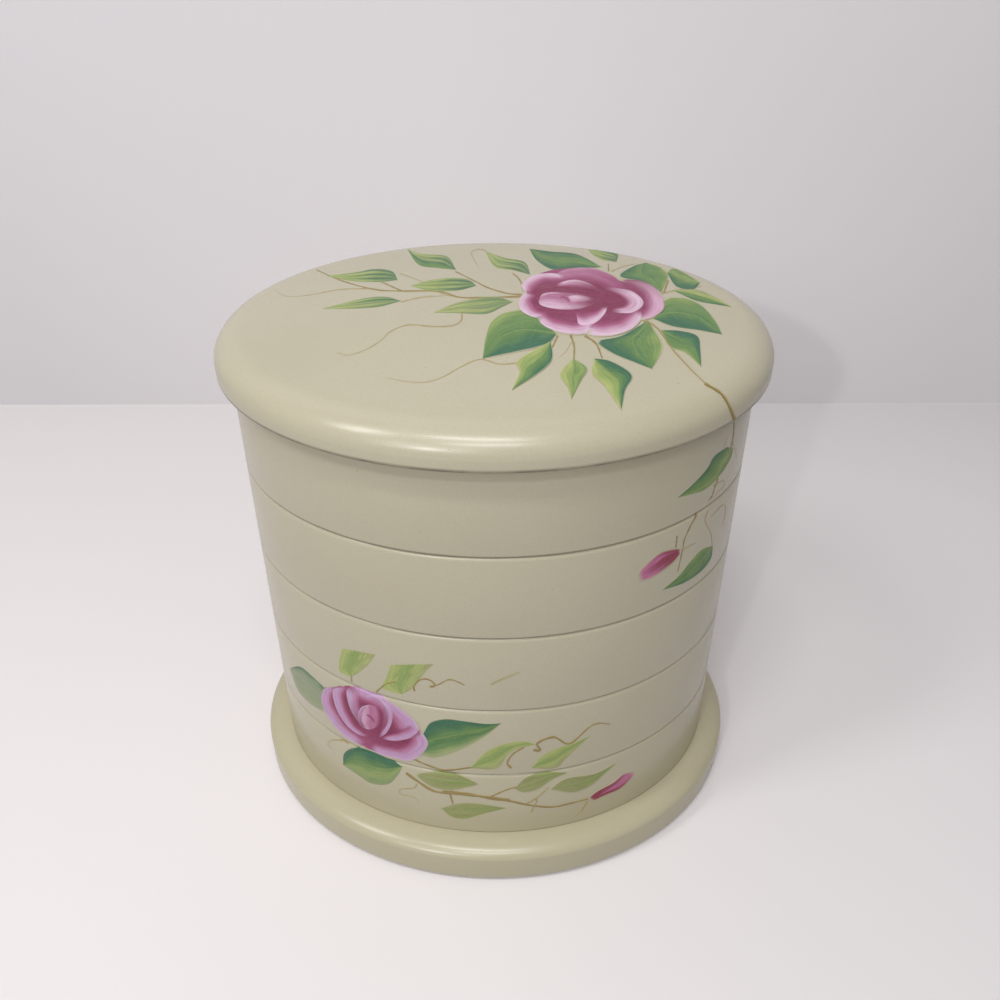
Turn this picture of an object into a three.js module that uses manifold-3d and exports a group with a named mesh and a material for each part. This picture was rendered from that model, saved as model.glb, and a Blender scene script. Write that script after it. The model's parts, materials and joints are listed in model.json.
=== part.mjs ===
// Oval swivel jewellery box: four trays and a lid turn on one upright rod at the back,
// above a fifth tray that is screwed to a broad base.
// Millimetres, +Z up, the front faces -Y, the origin is the centre of the underside.
import * as THREE from "three";
import { mergeVertices } from "three/addons/utils/BufferGeometryUtils.js";
import Module from "manifold-3d";

const wasm = await Module();
wasm.setup();

// Driving dimensions of the stack
const halfLength = 78; // of a tray, along X
const halfDepth = 64; // of a tray, along Y
const trayHeight = 28.7;
const trayCount = 5; // tray_1 is the top one, the last is fixed to the base
const seam = 0.4; // open line between two tiers
const pivotInset = 13; // rod axis, in from the back of a tray
const fit = 0.3; // clearance where one piece seats in or runs on another
const overrun = 1; // how far a cutting body runs past the face it cuts

// Tray shell
const wall = 6;
const rimRound = 1.2; // outer arris at the top
const footRound = 0.3; // outer arris at the bottom
const floorThickness = 3;
const floorRecess = 0.3; // floor board sits this far up from the foot
const floorLip = 3; // width of the rabbet that takes the floor board
const linerThickness = 1.2;
const bossRadius = 11;
const bushWall = 1.7;
const washerThickness = 1.4;
const washerRadius = 9;

// Dividers and ring rolls
const dividerThickness = 3;
const dividerHeight = 16;
const topDividerShare = 0.05; // place of the long divider, of the half depth inside
const secondDividerShare = -0.07;
const sideDividerShare = 0.34; // place of the short front dividers, of the half length inside
const rollCount = 5;
const rollHeight = 14;
const rollFrontRoom = 2.9; // left free between the first roll and the wall
const rollEndRoom = 2.5; // left free between a roll's end and the wall

// Lid
const lidOverhang = 4;
const lidEdge = 10.7; // thickness at the edge
const lidDome = 3; // rise of the middle above the edge
const lidRoundWidth = 9; // rounding of the upper edge, measured inwards
const lidRoundHeight = 6.5;
const lidArris = 0.5;
const liningThickness = 1.2;
const liningInset = 8; // lining, in from the outside of a tray
const plateRadius = 15;
const plateThickness = 1.6;
const plateScrewCircle = 10.6; // radius of the ring of screws
const plateScrewCount = 3;
const plateScrewLength = 7;
const plateScrewRadius = 1.2;
const plateScrewHead = 2.3; // radius of the countersunk head

// Pivot rod and its fastening under the base
const rodRadius = 2.5;
const rodHeadRadius = 6;
const rodHeadThickness = 2.5;
const rodChamfer = 0.4;
const rodEndRoom = 1; // rod end above the felt's underside
const rodProud = 2.3; // rod end below the nut
const nutAcross = 8; // across the flats
const nutHeight = 5;
const springThickness = 1.2;
const springRadius = 4.6;
const springCut = 0.8; // width of the slot in the spring washer
const plainThickness = 1;
const plainRadius = 6.5;
const nutWellRadius = 9;

// Base
const baseOverhang = 8.4;
const baseThickness = 13.8;
const baseRoundWidth = 8;
const baseRoundHeight = 3.8;
const baseArris = 1.8;
const feltThickness = 1;
const feltInset = 5; // felt, in from the edge of the base
const baseScrewCount = 4;
const baseScrewTurn = Math.PI / 4; // angle of the first base screw round the oval
const baseScrewRadius = 1.6;
const baseScrewHead = 3.2;
const baseScrewLength = 26;
const baseScrewSink = 0.4; // head, up from the base's underside

// Facets
const ovalSteps = 48;
const roundSteps = 20;
const screwSteps = 8;
const edgeSteps = 5; // in a wide rounded edge
const arrisSteps = 2; // in a small rounded edge
const domeSteps = 4;
const rollEndSteps = 3;
const rollSteps = 10;

// Places that follow from the sizes
const pivotY = halfDepth - pivotInset;
const pitch = trayHeight + seam;
const baseTop = feltThickness + baseThickness;
const lidBottom = baseTop + trayCount * pitch;
const lidShoulder = lidBottom + lidEdge;
const rodHole = rodRadius + fit;
const bushRadius = rodHole + bushWall;
const washerRecess = washerThickness - seam; // depth of the washer's seat in a boss
const isFixed = (number) => number === trayCount;
const trayBottom = (number) => baseTop + (trayCount - number) * pitch;
const floorLow = (number) => trayBottom(number) + (isFixed(number) ? 0 : floorRecess);
const floorTop = (number) => floorLow(number) + floorThickness;
const linerTop = (number) => floorTop(number) + linerThickness;

// Paint, wood, cloth and metal
const paint = { color: 0xb7af98, roughness: 0.42, metalness: 0 };
const board = { color: 0xb9a27c, roughness: 0.8, metalness: 0 };
const velvet = { color: 0x8c6f74, roughness: 0.95, metalness: 0 };
const felt = { color: 0x4c4a45, roughness: 1, metalness: 0 };
const steel = { color: 0xb9bcc0, roughness: 0.35, metalness: 1 };
const brass = { color: 0xb98d45, roughness: 0.4, metalness: 1 };
const nylon = { color: 0xe6e3da, roughness: 0.6, metalness: 0 };

// One point of the oval, moved in along its normal by the inset, then drawn to the middle by share.
function ovalPoint(angle, inset, z, share = 1) {
  const cos = Math.cos(angle);
  const sin = Math.sin(angle);
  const normal = Math.hypot(halfDepth * cos, halfLength * sin);
  return [
    share * (halfLength - (inset * halfDepth) / normal) * cos,
    share * (halfDepth - (inset * halfLength) / normal) * sin,
    z,
  ];
}

// Loft through rings of the oval, from the lowest to the highest, closed at the middle of each end.
// A ring is { inset, z, share }.
function ovalLoft(rings, topZ = rings.at(-1).z) {
  const points = [];
  const faces = [];
  rings.forEach(({ inset, z, share = 1 }) => {
    for (let i = 0; i < ovalSteps; i++) {
      points.push(...ovalPoint((i * 2 * Math.PI) / ovalSteps, inset, z, share));
    }
  });
  const low = points.length / 3;
  points.push(0, 0, rings[0].z, 0, 0, topZ);
  const last = (rings.length - 1) * ovalSteps;
  for (let i = 0; i < ovalSteps; i++) {
    const next = (i + 1) % ovalSteps;
    for (let ring = 0; ring < last; ring += ovalSteps) {
      faces.push(ring + i, ring + next, ring + ovalSteps + next);
      faces.push(ring + i, ring + ovalSteps + next, ring + ovalSteps + i);
    }
    faces.push(low, next, i, low + 1, last + i, last + next);
  }
  const geometry = new THREE.BufferGeometry();
  geometry.setAttribute("position", new THREE.Float32BufferAttribute(points, 3));
  geometry.setIndex(faces);
  return geometry;
}

const ovalPrism = (inset, low, high) =>
  ovalLoft([
    { inset, z: low },
    { inset, z: high },
  ]);

// Rings of a quarter round. It starts at the wide end where rising is true and ends there otherwise.
function quarterRound(edgeInset, z, width, height, steps, rising) {
  const rings = [];
  for (let i = 0; i <= steps; i++) {
    const turn = ((rising ? steps - i : i) / steps) * (Math.PI / 2);
    const inset = edgeInset + width * (1 - Math.cos(turn));
    rings.push({ inset, z: z + (rising ? -1 : 1) * height * Math.sin(turn) });
  }
  return rings;
}

// Upright round body standing on x, y.
function post(radius, low, high, x, y, sides = roundSteps) {
  const geometry = new THREE.CylinderGeometry(radius, radius, high - low, sides);
  return geometry.rotateX(Math.PI / 2).translate(x, y, (low + high) / 2);
}

// Body of revolution about an upright axis at x, y, from a profile of [radius, z] pairs.
function revolve(profile, x, y, sides = roundSteps) {
  const points = profile.map(([radius, z]) => new THREE.Vector2(radius, z));
  return new THREE.LatheGeometry(points, sides).rotateX(Math.PI / 2).translate(x, y, 0);
}

const collar = (inner, outer, low, high, x, y) =>
  revolve(
    [
      [inner, low],
      [outer, low],
      [outer, high],
      [inner, high],
      [inner, low],
    ],
    x,
    y,
  );

// Closed geometry as a solid that can be joined and cut.
function solid(geometry) {
  const bare = geometry.index ? geometry.toNonIndexed() : geometry;
  bare.deleteAttribute("normal");
  bare.deleteAttribute("uv");
  const merged = mergeVertices(bare);
  return new wasm.Manifold(
    new wasm.Mesh({
      numProp: 3,
      vertProperties: merged.attributes.position.array,
      triVerts: new Uint32Array(merged.index.array),
    }),
  );
}

function geometryOf(body) {
  const mesh = body.getMesh();
  const geometry = new THREE.BufferGeometry();
  geometry.setAttribute("position", new THREE.BufferAttribute(mesh.vertProperties, 3));
  geometry.setIndex(new THREE.BufferAttribute(mesh.triVerts, 1));
  return geometry;
}

const cut = (body, ...tools) => tools.reduce((rest, tool) => rest.subtract(solid(tool)), body);

const box = new THREE.Group();

function add(name, shape, finish) {
  const geometry = shape.isBufferGeometry ? shape : geometryOf(shape);
  geometry.computeVertexNormals();
  const mesh = new THREE.Mesh(geometry, new THREE.MeshStandardMaterial(finish));
  mesh.name = name;
  box.add(mesh);
}

// Places of the base screws, under the middle of the lowest tray's wall.
function baseScrewPlaces() {
  return Array.from({ length: baseScrewCount }, (_, i) => {
    const angle = baseScrewTurn + (i * 2 * Math.PI) / baseScrewCount;
    return ovalPoint(angle, wall / 2, 0);
  });
}

// Countersunk screw that points up, its head at z.
function screw(x, y, z, radius, head, length) {
  const profile = [
    [0, z],
    [head, z],
    [radius, z + head - radius],
    [radius, z + length - radius],
    [0, z + length],
  ];
  return revolve(profile, x, y, screwSteps);
}

// Hole for that screw: its own outline with clearance all round, open below the head.
function screwHole(x, y, z, radius, head, length) {
  const wide = head + fit;
  const narrow = radius + fit;
  const profile = [
    [0, z - overrun],
    [wide, z - overrun],
    [wide, z + fit / 2],
    [narrow, z + fit / 2 + wide - narrow],
    [narrow, z + length + fit],
    [0, z + length + fit],
  ];
  return revolve(profile, x, y, screwSteps);
}

// Wall of a tray: an upright oval ring with rounded arrises, and inside its back the boss for the rod.
// The floor board's rabbet goes round the foot, and stops at the boss. The lowest tray has no rabbet,
// because its wall and its floor board both stand on the base.
function trayShell(number) {
  const low = trayBottom(number);
  const high = low + trayHeight;
  const outside = ovalLoft([
    ...quarterRound(0, low + footRound, footRound, footRound, arrisSteps - 1, true),
    ...quarterRound(0, high - rimRound, rimRound, rimRound, arrisSteps, false),
  ]);
  const boss = solid(post(bossRadius, low, high, 0, pivotY));
  const hollow = solid(ovalPrism(wall, low - overrun, high + overrun));
  if (isFixed(number)) return solid(outside).subtract(hollow.subtract(boss));
  const rabbet = solid(ovalPrism(wall - floorLip, low - overrun, floorTop(number)));
  return solid(outside).subtract(hollow.add(rabbet).subtract(boss));
}

// Rod hole through a boss, with the seat of the washer above it.
function bossBore(number, radius) {
  const low = trayBottom(number);
  const high = low + trayHeight;
  const bore = solid(post(radius, low - overrun, high + overrun, 0, pivotY));
  const seat = solid(post(washerRadius + fit, high - washerRecess, high + overrun, 0, pivotY));
  return bore.add(seat);
}

// Thin oval sheet inside a tray, with a round bay that clears the boss.
function ovalSheet(inset, low, high) {
  const bay = post(bossRadius + fit, low - overrun, high + overrun, 0, pivotY);
  return cut(solid(ovalPrism(inset, low, high)), bay);
}

function addTray(number) {
  const name = `tray_${number}`;
  const fixed = isFixed(number);
  const low = trayBottom(number);
  const boreRadius = fixed ? rodHole : bushRadius + fit;
  let shell = trayShell(number).subtract(bossBore(number, boreRadius));
  if (fixed) shell = cut(shell, ...baseScrewHoles());
  add(`${name}_shell`, shell, paint);
  const floorInset = fixed ? wall + fit : wall - floorLip + fit;
  add(`${name}_floor`, ovalSheet(floorInset, floorLow(number), floorTop(number)), board);
  add(`${name}_liner`, ovalSheet(wall + fit, floorTop(number), linerTop(number)), velvet);
  const seatZ = low + trayHeight - washerRecess;
  if (!fixed) add(`${name}_bush`, collar(rodHole, bushRadius, low, seatZ, 0, pivotY), nylon);
  const washer = collar(rodHole, washerRadius, seatZ, seatZ + washerThickness, 0, pivotY);
  add(`${name}_washer`, washer, nylon);
}

// Divider board that stands on a liner, trimmed to the wall and to the boss.
function divider(number, lowX, highX, lowY, highY) {
  const low = linerTop(number);
  const high = low + dividerHeight;
  const blank = new THREE.BoxGeometry(highX - lowX, highY - lowY, dividerHeight);
  blank.translate((lowX + highX) / 2, (lowY + highY) / 2, (low + high) / 2);
  const room = solid(ovalPrism(wall + fit, low, high));
  return cut(solid(blank).intersect(room), post(bossRadius + fit, low, high, 0, pivotY));
}

const longDivider = (number, middle) =>
  divider(
    number,
    -halfLength,
    halfLength,
    middle - dividerThickness / 2,
    middle + dividerThickness / 2,
  );

const crossDivider = (number, x, lowY, highY) =>
  divider(number, x - dividerThickness / 2, x + dividerThickness / 2, lowY, highY);

// Half depth and half length of the room inside a tray
const insideDepth = halfDepth - wall;
const insideLength = halfLength - wall;
const dividerReach = dividerThickness / 2 + fit; // from a long divider's middle to a cross one's end
const topDividerY = topDividerShare * insideDepth;
const secondDividerY = secondDividerShare * insideDepth;

function addDividers() {
  add("tray_1_long_divider", longDivider(1, topDividerY), board);
  add("tray_1_rear_divider", crossDivider(1, 0, topDividerY + dividerReach, pivotY), board);
  add("tray_2_long_divider", longDivider(2, secondDividerY), board);
  add("tray_2_rear_divider", crossDivider(2, 0, secondDividerY + dividerReach, pivotY), board);
  const front = secondDividerY - dividerReach;
  const side = sideDividerShare * insideLength;
  add("tray_2_left_divider", crossDivider(2, -side, -halfDepth, front), board);
  add("tray_2_right_divider", crossDivider(2, side, -halfDepth, front), board);
  add("tray_3_divider", crossDivider(3, 0, -halfDepth, pivotY), board);
}

// Stuffed rolls for rings, side by side in front of the long divider of the top tray.
// They share the depth of that room, and each is as long as the curved wall leaves room for at its
// front edge.
function addRingRolls() {
  const rearEdge = topDividerY - dividerThickness / 2;
  const rollPitch = (rearEdge + insideDepth - rollFrontRoom) / rollCount;
  const rollWidth = rollPitch - fit;
  const radius = rollWidth / 2;
  const low = linerTop(1) + fit;
  for (let i = 0; i < rollCount; i++) {
    const y = rearEdge - fit - radius - i * rollPitch;
    const chord = insideLength * Math.sqrt(1 - ((y - radius) / insideDepth) ** 2);
    const straight = 2 * (chord - rollEndRoom - radius);
    const roll = new THREE.CapsuleGeometry(radius, straight, rollEndSteps, rollSteps).rotateZ(Math.PI / 2);
    roll.scale(1, 1, rollHeight / rollWidth).translate(0, y, low + rollHeight / 2);
    add(`ring_roll_${i + 1}`, solid(roll), velvet);
  }
}

// Places of the small screws round the rod in the lid's pivot plate.
function plateScrewPlaces() {
  return Array.from({ length: plateScrewCount }, (_, i) => {
    const angle = -Math.PI / 2 + (i * 2 * Math.PI) / plateScrewCount;
    return [plateScrewCircle * Math.cos(angle), pivotY + plateScrewCircle * Math.sin(angle)];
  });
}

function plateScrewHoles() {
  return plateScrewPlaces().map(([x, y]) =>
    screwHole(x, y, lidBottom, plateScrewRadius, plateScrewHead, plateScrewLength),
  );
}

const liningBay = plateRadius + plateScrewHead; // radius left free of lining round the rod

// Lid board: small arris below, wide round above, and a low dome that starts at its shoulder.
function lidBoard() {
  const rings = [
    ...quarterRound(-lidOverhang, lidBottom + lidArris, lidArris, lidArris, arrisSteps, true),
    ...quarterRound(
      -lidOverhang,
      lidShoulder - lidRoundHeight,
      lidRoundWidth,
      lidRoundHeight,
      edgeSteps,
      false,
    ),
  ];
  const crownInset = lidRoundWidth - lidOverhang;
  for (let i = 1; i < domeSteps; i++) {
    const share = 1 - i / domeSteps;
    rings.push({ inset: crownInset, z: lidShoulder + lidDome * (1 - share ** 2), share });
  }
  return solid(ovalLoft(rings, lidShoulder + lidDome));
}

function addLid() {
  const below = lidBottom - overrun;
  const plateTop = lidBottom + plateThickness;
  const headTop = plateTop + rodHeadThickness;
  const liningTop = lidBottom + liningThickness;
  const bay = post(liningBay, below, liningTop + overrun, 0, pivotY);
  const liningSeat = cut(solid(ovalPrism(liningInset, below, liningTop)), bay);
  const plateSeat = post(plateRadius + fit, below, plateTop, 0, pivotY);
  const headWell = post(rodHeadRadius + fit, below, headTop + fit, 0, pivotY);
  const lid = cut(lidBoard(), plateSeat, headWell, ...plateScrewHoles());
  add("lid_board", lid.subtract(liningSeat), paint);

  const clearBay = post(liningBay + fit, below, liningTop + overrun, 0, pivotY);
  const lining = solid(ovalPrism(liningInset + fit, lidBottom, liningTop));
  add("lid_lining", cut(lining, clearBay), velvet);

  const plate = solid(collar(rodHole, plateRadius, lidBottom, plateTop, 0, pivotY));
  add("lid_pivot_plate", cut(plate, ...plateScrewHoles()), brass);
  plateScrewPlaces().forEach(([x, y], i) => {
    const small = screw(x, y, lidBottom, plateScrewRadius, plateScrewHead, plateScrewLength);
    add(`lid_plate_screw_${i + 1}`, small, brass);
  });
}

function baseScrewHoles() {
  const z = feltThickness + baseScrewSink;
  return baseScrewPlaces().map(([x, y]) =>
    screwHole(x, y, z, baseScrewRadius, baseScrewHead, baseScrewLength),
  );
}

// Places of the fastening in the nut well, from the rod's end up to the well's ceiling.
const nutLow = rodEndRoom + rodProud;
const springLow = nutLow + nutHeight;
const plainLow = springLow + springThickness;
const wellTop = plainLow + plainThickness;

// Rod with a flat round head, which lies on the lid's pivot plate inside the lid.
function addRod() {
  const headLow = lidBottom + plateThickness;
  const headHigh = headLow + rodHeadThickness;
  const profile = [
    [0, rodEndRoom],
    [rodRadius - rodChamfer, rodEndRoom],
    [rodRadius, rodEndRoom + rodChamfer],
    [rodRadius, headLow],
    [rodHeadRadius, headLow],
    [rodHeadRadius, headHigh - rodChamfer],
    [rodHeadRadius - rodChamfer, headHigh],
    [0, headHigh],
  ];
  add("pivot_rod", revolve(profile, 0, pivotY), steel);
}

// Plain washer, split spring washer and hexagon nut on the rod's lower end.
function addRodFastening() {
  add("plain_washer", collar(rodHole, plainRadius, plainLow, wellTop, 0, pivotY), steel);

  const spring = solid(collar(rodHole, springRadius, springLow, plainLow, 0, pivotY));
  const slot = new THREE.BoxGeometry(springRadius + overrun, springCut, springThickness + overrun);
  slot.translate((springRadius + overrun) / 2, pivotY, (springLow + plainLow) / 2);
  add("spring_washer", cut(spring, slot), steel);

  const corner = nutAcross / 2 / Math.cos(Math.PI / 6);
  const hexagon = solid(post(corner, nutLow, springLow, 0, pivotY, 6));
  const bore = post(rodHole, nutLow - overrun, springLow + overrun, 0, pivotY);
  add("rod_nut", cut(hexagon, bore), steel);
}

// Base board: broad foot with a wide rounded upper edge, nut well below and rod hole above it.
function addBase() {
  const board = solid(
    ovalLoft([
      ...quarterRound(
        -baseOverhang,
        feltThickness + baseArris,
        baseArris,
        baseArris,
        arrisSteps,
        true,
      ),
      ...quarterRound(
        -baseOverhang,
        baseTop - baseRoundHeight,
        baseRoundWidth,
        baseRoundHeight,
        edgeSteps,
        false,
      ),
    ]),
  );
  const well = post(nutWellRadius, -overrun, wellTop, 0, pivotY);
  const rodWay = post(rodHole, wellTop - overrun, baseTop + overrun, 0, pivotY);
  add("base_board", cut(board, well, rodWay, ...baseScrewHoles()), paint);

  const pad = solid(ovalPrism(feltInset - baseOverhang, 0, feltThickness));
  add("base_felt", cut(pad, well), felt);

  baseScrewPlaces().forEach(([x, y], i) => {
    const z = feltThickness + baseScrewSink;
    const long = screw(x, y, z, baseScrewRadius, baseScrewHead, baseScrewLength);
    add(`base_screw_${i + 1}`, long, steel);
  });
}

addBase();
addRod();
addRodFastening();
for (let number = trayCount; number >= 1; number--) addTray(number);
addDividers();
addRingRolls();
addLid();

export default box;
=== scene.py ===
"""Dress an oval swivel jewellery box of painted wood: lid, five trays, base, pivot and rose sprays."""

import json
import logging
from contextlib import contextmanager
from dataclasses import dataclass, field
from enum import Enum
from typing import Iterator, Sequence

import bmesh
import bpy
import numpy as np
from mathutils import Matrix, Vector


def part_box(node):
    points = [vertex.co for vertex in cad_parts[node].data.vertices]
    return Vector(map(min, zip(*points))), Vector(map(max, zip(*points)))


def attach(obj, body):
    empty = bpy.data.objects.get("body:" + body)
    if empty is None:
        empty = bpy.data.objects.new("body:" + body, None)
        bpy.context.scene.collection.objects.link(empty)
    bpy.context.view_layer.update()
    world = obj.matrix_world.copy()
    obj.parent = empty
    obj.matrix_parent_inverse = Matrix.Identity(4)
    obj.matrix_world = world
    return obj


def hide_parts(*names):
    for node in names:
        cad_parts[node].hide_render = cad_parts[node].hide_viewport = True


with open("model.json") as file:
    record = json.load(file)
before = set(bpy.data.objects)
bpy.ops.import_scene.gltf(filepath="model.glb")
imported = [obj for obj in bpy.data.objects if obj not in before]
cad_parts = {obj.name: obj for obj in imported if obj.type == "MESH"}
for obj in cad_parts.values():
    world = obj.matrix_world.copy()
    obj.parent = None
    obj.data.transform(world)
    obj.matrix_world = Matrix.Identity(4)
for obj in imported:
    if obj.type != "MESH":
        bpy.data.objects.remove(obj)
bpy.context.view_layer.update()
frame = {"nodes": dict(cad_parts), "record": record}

LOG = logging.getLogger("jewellery_box")
MM = 0.001
# distances in metres under which points are one, and angles in radians
SAME_POINT, CAD_STEP, SLIVER = 1e-7, 1e-6, 2e-6
FLAT_ANGLE, CARVED_ANGLE, SMOOTH_ANGLE, BEVEL_ANGLE = 0.01, 0.6, 0.7, 0.9
# how far a cutter runs past a face, and the play of a part let into a seat
OVERRUN, SEAT_FIT = 1 * MM, 0.3 * MM
ROD_RADIUS, ROD_BORE, ROD_HEAD = 2.5 * MM, 2.8 * MM, 6 * MM
TRAY_NUMBERS = range(1, 6)
ROLL_NUMBERS = range(1, 6)
FIXED_TRAY = 5
Array = np.ndarray
Route = str | Sequence[Sequence[float]]
Piece = bpy.types.Object
Mesh = bpy.types.Mesh
Material = bpy.types.Material
Socket = bpy.types.NodeSocket


class Carrier(Enum):
    """What a painted stroke lies on."""

    LID = "lid"
    WALL = "wall"


def node_size(node: str) -> Array:
    """Length, depth and height of a node of the frame, in metres."""
    low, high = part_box(node)
    return np.array(high - low)


def turns(steps: int) -> Array:
    """Angles evenly round a circle."""
    return np.linspace(0, 2 * np.pi, steps, endpoint=False)


def raised(plan: Array, height: Array) -> Array:
    """Rings of plan points, shape (rings, points, 2), each set at its height."""
    level = np.broadcast_to(np.asarray(height)[:, None, None], plan.shape[:2] + (1,))
    return np.concatenate([plan, level], axis=-1)


def shrunk(ring: Array, count: int) -> tuple[Array, Array]:
    """Copies of a ring drawn in to the middle at height 0, and how large each still is."""
    share = np.linspace(1, 0, count)[1:-1]
    return ring[None] * np.array([1, 1, 0]) * share[:, None, None], share


def grid_faces(rows: int, columns: int, wrap: bool) -> Array:
    """Quads of a grid whose points run along its columns first.

    Args:
        rows: number of rows of points.
        columns: number of points in a row.
        wrap: joins the last column to the first.

    Returns:
        Index array of shape (faces, 4).
    """
    row = np.arange(rows - 1)[:, None] * columns
    column = np.arange(columns if wrap else columns - 1)[None, :]
    after = (column + 1) % columns
    quads = [row + column, row + after, row + columns + after, row + columns + column]
    return np.stack(quads, axis=-1).reshape(-1, 4)


@contextmanager
def editing(mesh: Mesh) -> Iterator[bmesh.types.BMesh]:
    """Open a mesh for bmesh's operators and write it back."""
    bm = bmesh.new()
    bm.from_mesh(mesh)
    yield bm
    bm.to_mesh(mesh)
    bm.free()


def link(name: str, data: bpy.types.ID) -> Piece:
    """Put new data into the scene as an object."""
    piece = bpy.data.objects.new(name, data)
    bpy.context.scene.collection.objects.link(piece)
    return piece


def new_object(name: str, points: Array, faces: Sequence, sharp_angle: float = CARVED_ANGLE) -> Piece:
    """Mesh object from points in metres and faces, smooth but for edges past sharp_angle."""
    mesh = bpy.data.meshes.new(name)
    mesh.from_pydata(np.asarray(points, float).tolist(), [], [list(map(int, f)) for f in faces])
    mesh.validate()
    with editing(mesh) as bm:
        bmesh.ops.remove_doubles(bm, verts=bm.verts, dist=SAME_POINT)
        bmesh.ops.recalc_face_normals(bm, faces=bm.faces)
    smooth(mesh, sharp_angle)
    return link(name, mesh)


def smooth(mesh: Mesh, sharp_angle: float) -> None:
    """Smooth shading that keeps edges sharper than sharp_angle, in radians."""
    mesh.polygons.foreach_set("use_smooth", np.ones(len(mesh.polygons), bool))
    mesh.set_sharp_from_angle(angle=sharp_angle)
    mesh.update()


def ring_body(rings: Array) -> tuple[Array, list]:
    """Points and faces of a body lofted through rings, closed by a fan at each end.

    Args:
        rings: array of shape (rings, points, 3), from the lowest to the highest.

    Returns:
        Points and a list of faces.
    """
    count, steps, _ = rings.shape
    points = np.vstack([rings.reshape(-1, 3), rings[0].mean(0), rings[-1].mean(0)])
    around = np.arange(steps)
    after = (around + 1) % steps
    low, high = count * steps, count * steps + 1
    top = (count - 1) * steps
    faces = grid_faces(count, steps, True).tolist()
    faces += np.stack([np.full(steps, low), after, around], axis=-1).tolist()
    faces += np.stack([np.full(steps, high), top + around, top + after], axis=-1).tolist()
    return points, faces


def revolved(profile: Sequence[tuple[float, float]], x: float, y: float, steps: int = 96) -> Array:
    """Rings of a body of revolution: the radius and height pairs of profile, turned about x, y."""
    radius, height = np.array(profile).T
    angle = turns(steps)
    ring = np.stack([np.cos(angle), np.sin(angle)], axis=-1)
    return raised(radius[:, None, None] * ring[None] + (x, y), height)


def quarter(width: float, height: float, steps: int, opening: bool) -> tuple[Array, Array]:
    """Inset and rise of a quarter round, from its edge inwards, or outwards where opening is true."""
    turn = np.linspace(0, np.pi / 2, steps)
    inset, rise = width * (1 - np.cos(turn)), height * np.sin(turn)
    return (inset[::-1], rise[::-1]) if opening else (inset, rise)


def carve(piece: Piece, cutters: Sequence[Piece]) -> None:
    """Cut closed bodies out of a piece and delete them."""
    for cutter in cutters:
        modifier = piece.modifiers.new("cut", "BOOLEAN")
        modifier.operation, modifier.solver, modifier.object = "DIFFERENCE", "EXACT", cutter
    bake_modifiers(piece)
    with editing(piece.data) as bm:
        bmesh.ops.dissolve_degenerate(bm, dist=SLIVER, edges=bm.edges)
        bmesh.ops.remove_doubles(bm, verts=bm.verts, dist=SLIVER)
    smooth(piece.data, CARVED_ANGLE)
    for cutter in cutters:
        bpy.data.objects.remove(cutter)


def bake_modifiers(piece: Piece) -> None:
    """Replace a piece's mesh by the result of its modifiers."""
    graph = bpy.context.evaluated_depsgraph_get()
    mesh = bpy.data.meshes.new_from_object(piece.evaluated_get(graph))
    piece.modifiers.clear()
    piece.data = mesh


def rounded_copy(name: str, node: str, width: float, segments: int = 3) -> Piece:
    """Copy of a CAD node with merged points, flat faces rejoined and its sharp edges rounded."""
    mesh = frame["nodes"][node].data.copy()
    mesh.name = name
    with editing(mesh) as bm:
        bmesh.ops.remove_doubles(bm, verts=bm.verts, dist=CAD_STEP)
        bmesh.ops.dissolve_limit(bm, angle_limit=FLAT_ANGLE, verts=bm.verts, edges=bm.edges)
    mesh.materials.clear()
    piece = link(name, mesh)
    soften(piece, width, segments)
    return piece


def soften(piece: Piece, width: float, segments: int = 3) -> None:
    """Round a piece's sharp edges."""
    bevel = piece.modifiers.new("round", "BEVEL")
    bevel.width, bevel.segments, bevel.limit_method = width, segments, "ANGLE"
    bevel.angle_limit = BEVEL_ANGLE
    bake_modifiers(piece)
    smooth(piece.data, SMOOTH_ANGLE)


@dataclass(frozen=True)
class Oval:
    """Plan of a tray: an ellipse, and the parallel curves inside and outside it."""

    half_length: float
    half_depth: float

    def normal(self, angle: Array) -> Array:
        """Outward unit normal at a parameter angle, shape (..., 2)."""
        x = self.half_depth * np.cos(angle)
        y = self.half_length * np.sin(angle)
        return np.stack([x, y], axis=-1) / np.hypot(x, y)[..., None]

    def rim(self, angle: Array, inset: Array) -> Array:
        """Point of the ellipse at an angle, moved in along the normal by inset, shape (..., 2)."""
        point = np.stack([self.half_length * np.cos(angle), self.half_depth * np.sin(angle)], axis=-1)
        return point - self.normal(angle) * np.asarray(inset)[..., None]

    def locate(self, point: Array) -> tuple[Array, Array]:
        """Angle and inset of a point in plan, by Newton steps to the nearest point of the ellipse."""
        x, y = point[..., 0], point[..., 1]
        a, b = self.half_length, self.half_depth
        angle = np.arctan2(a * y, b * x)
        for _ in range(6):
            cos, sin = np.cos(angle), np.sin(angle)
            slope = (a * a - b * b) * cos * sin - x * a * sin + y * b * cos
            bend = (a * a - b * b) * (cos * cos - sin * sin) - x * a * cos - y * b * sin
            angle = angle - np.clip(slope / np.minimum(bend, -1e-9), -0.2, 0.2)
        offset = self.rim(angle, np.zeros_like(angle)) - point
        return angle, (offset * self.normal(angle)).sum(-1)

    def rings(self, inset: Array, height: Array, steps: int) -> Array:
        """Rings of points, one for each pair of inset and height, shape (pairs, steps, 3)."""
        angle = turns(steps)[None, :]
        return raised(self.rim(angle, np.asarray(inset)[:, None] + 0 * angle), height)


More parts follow.
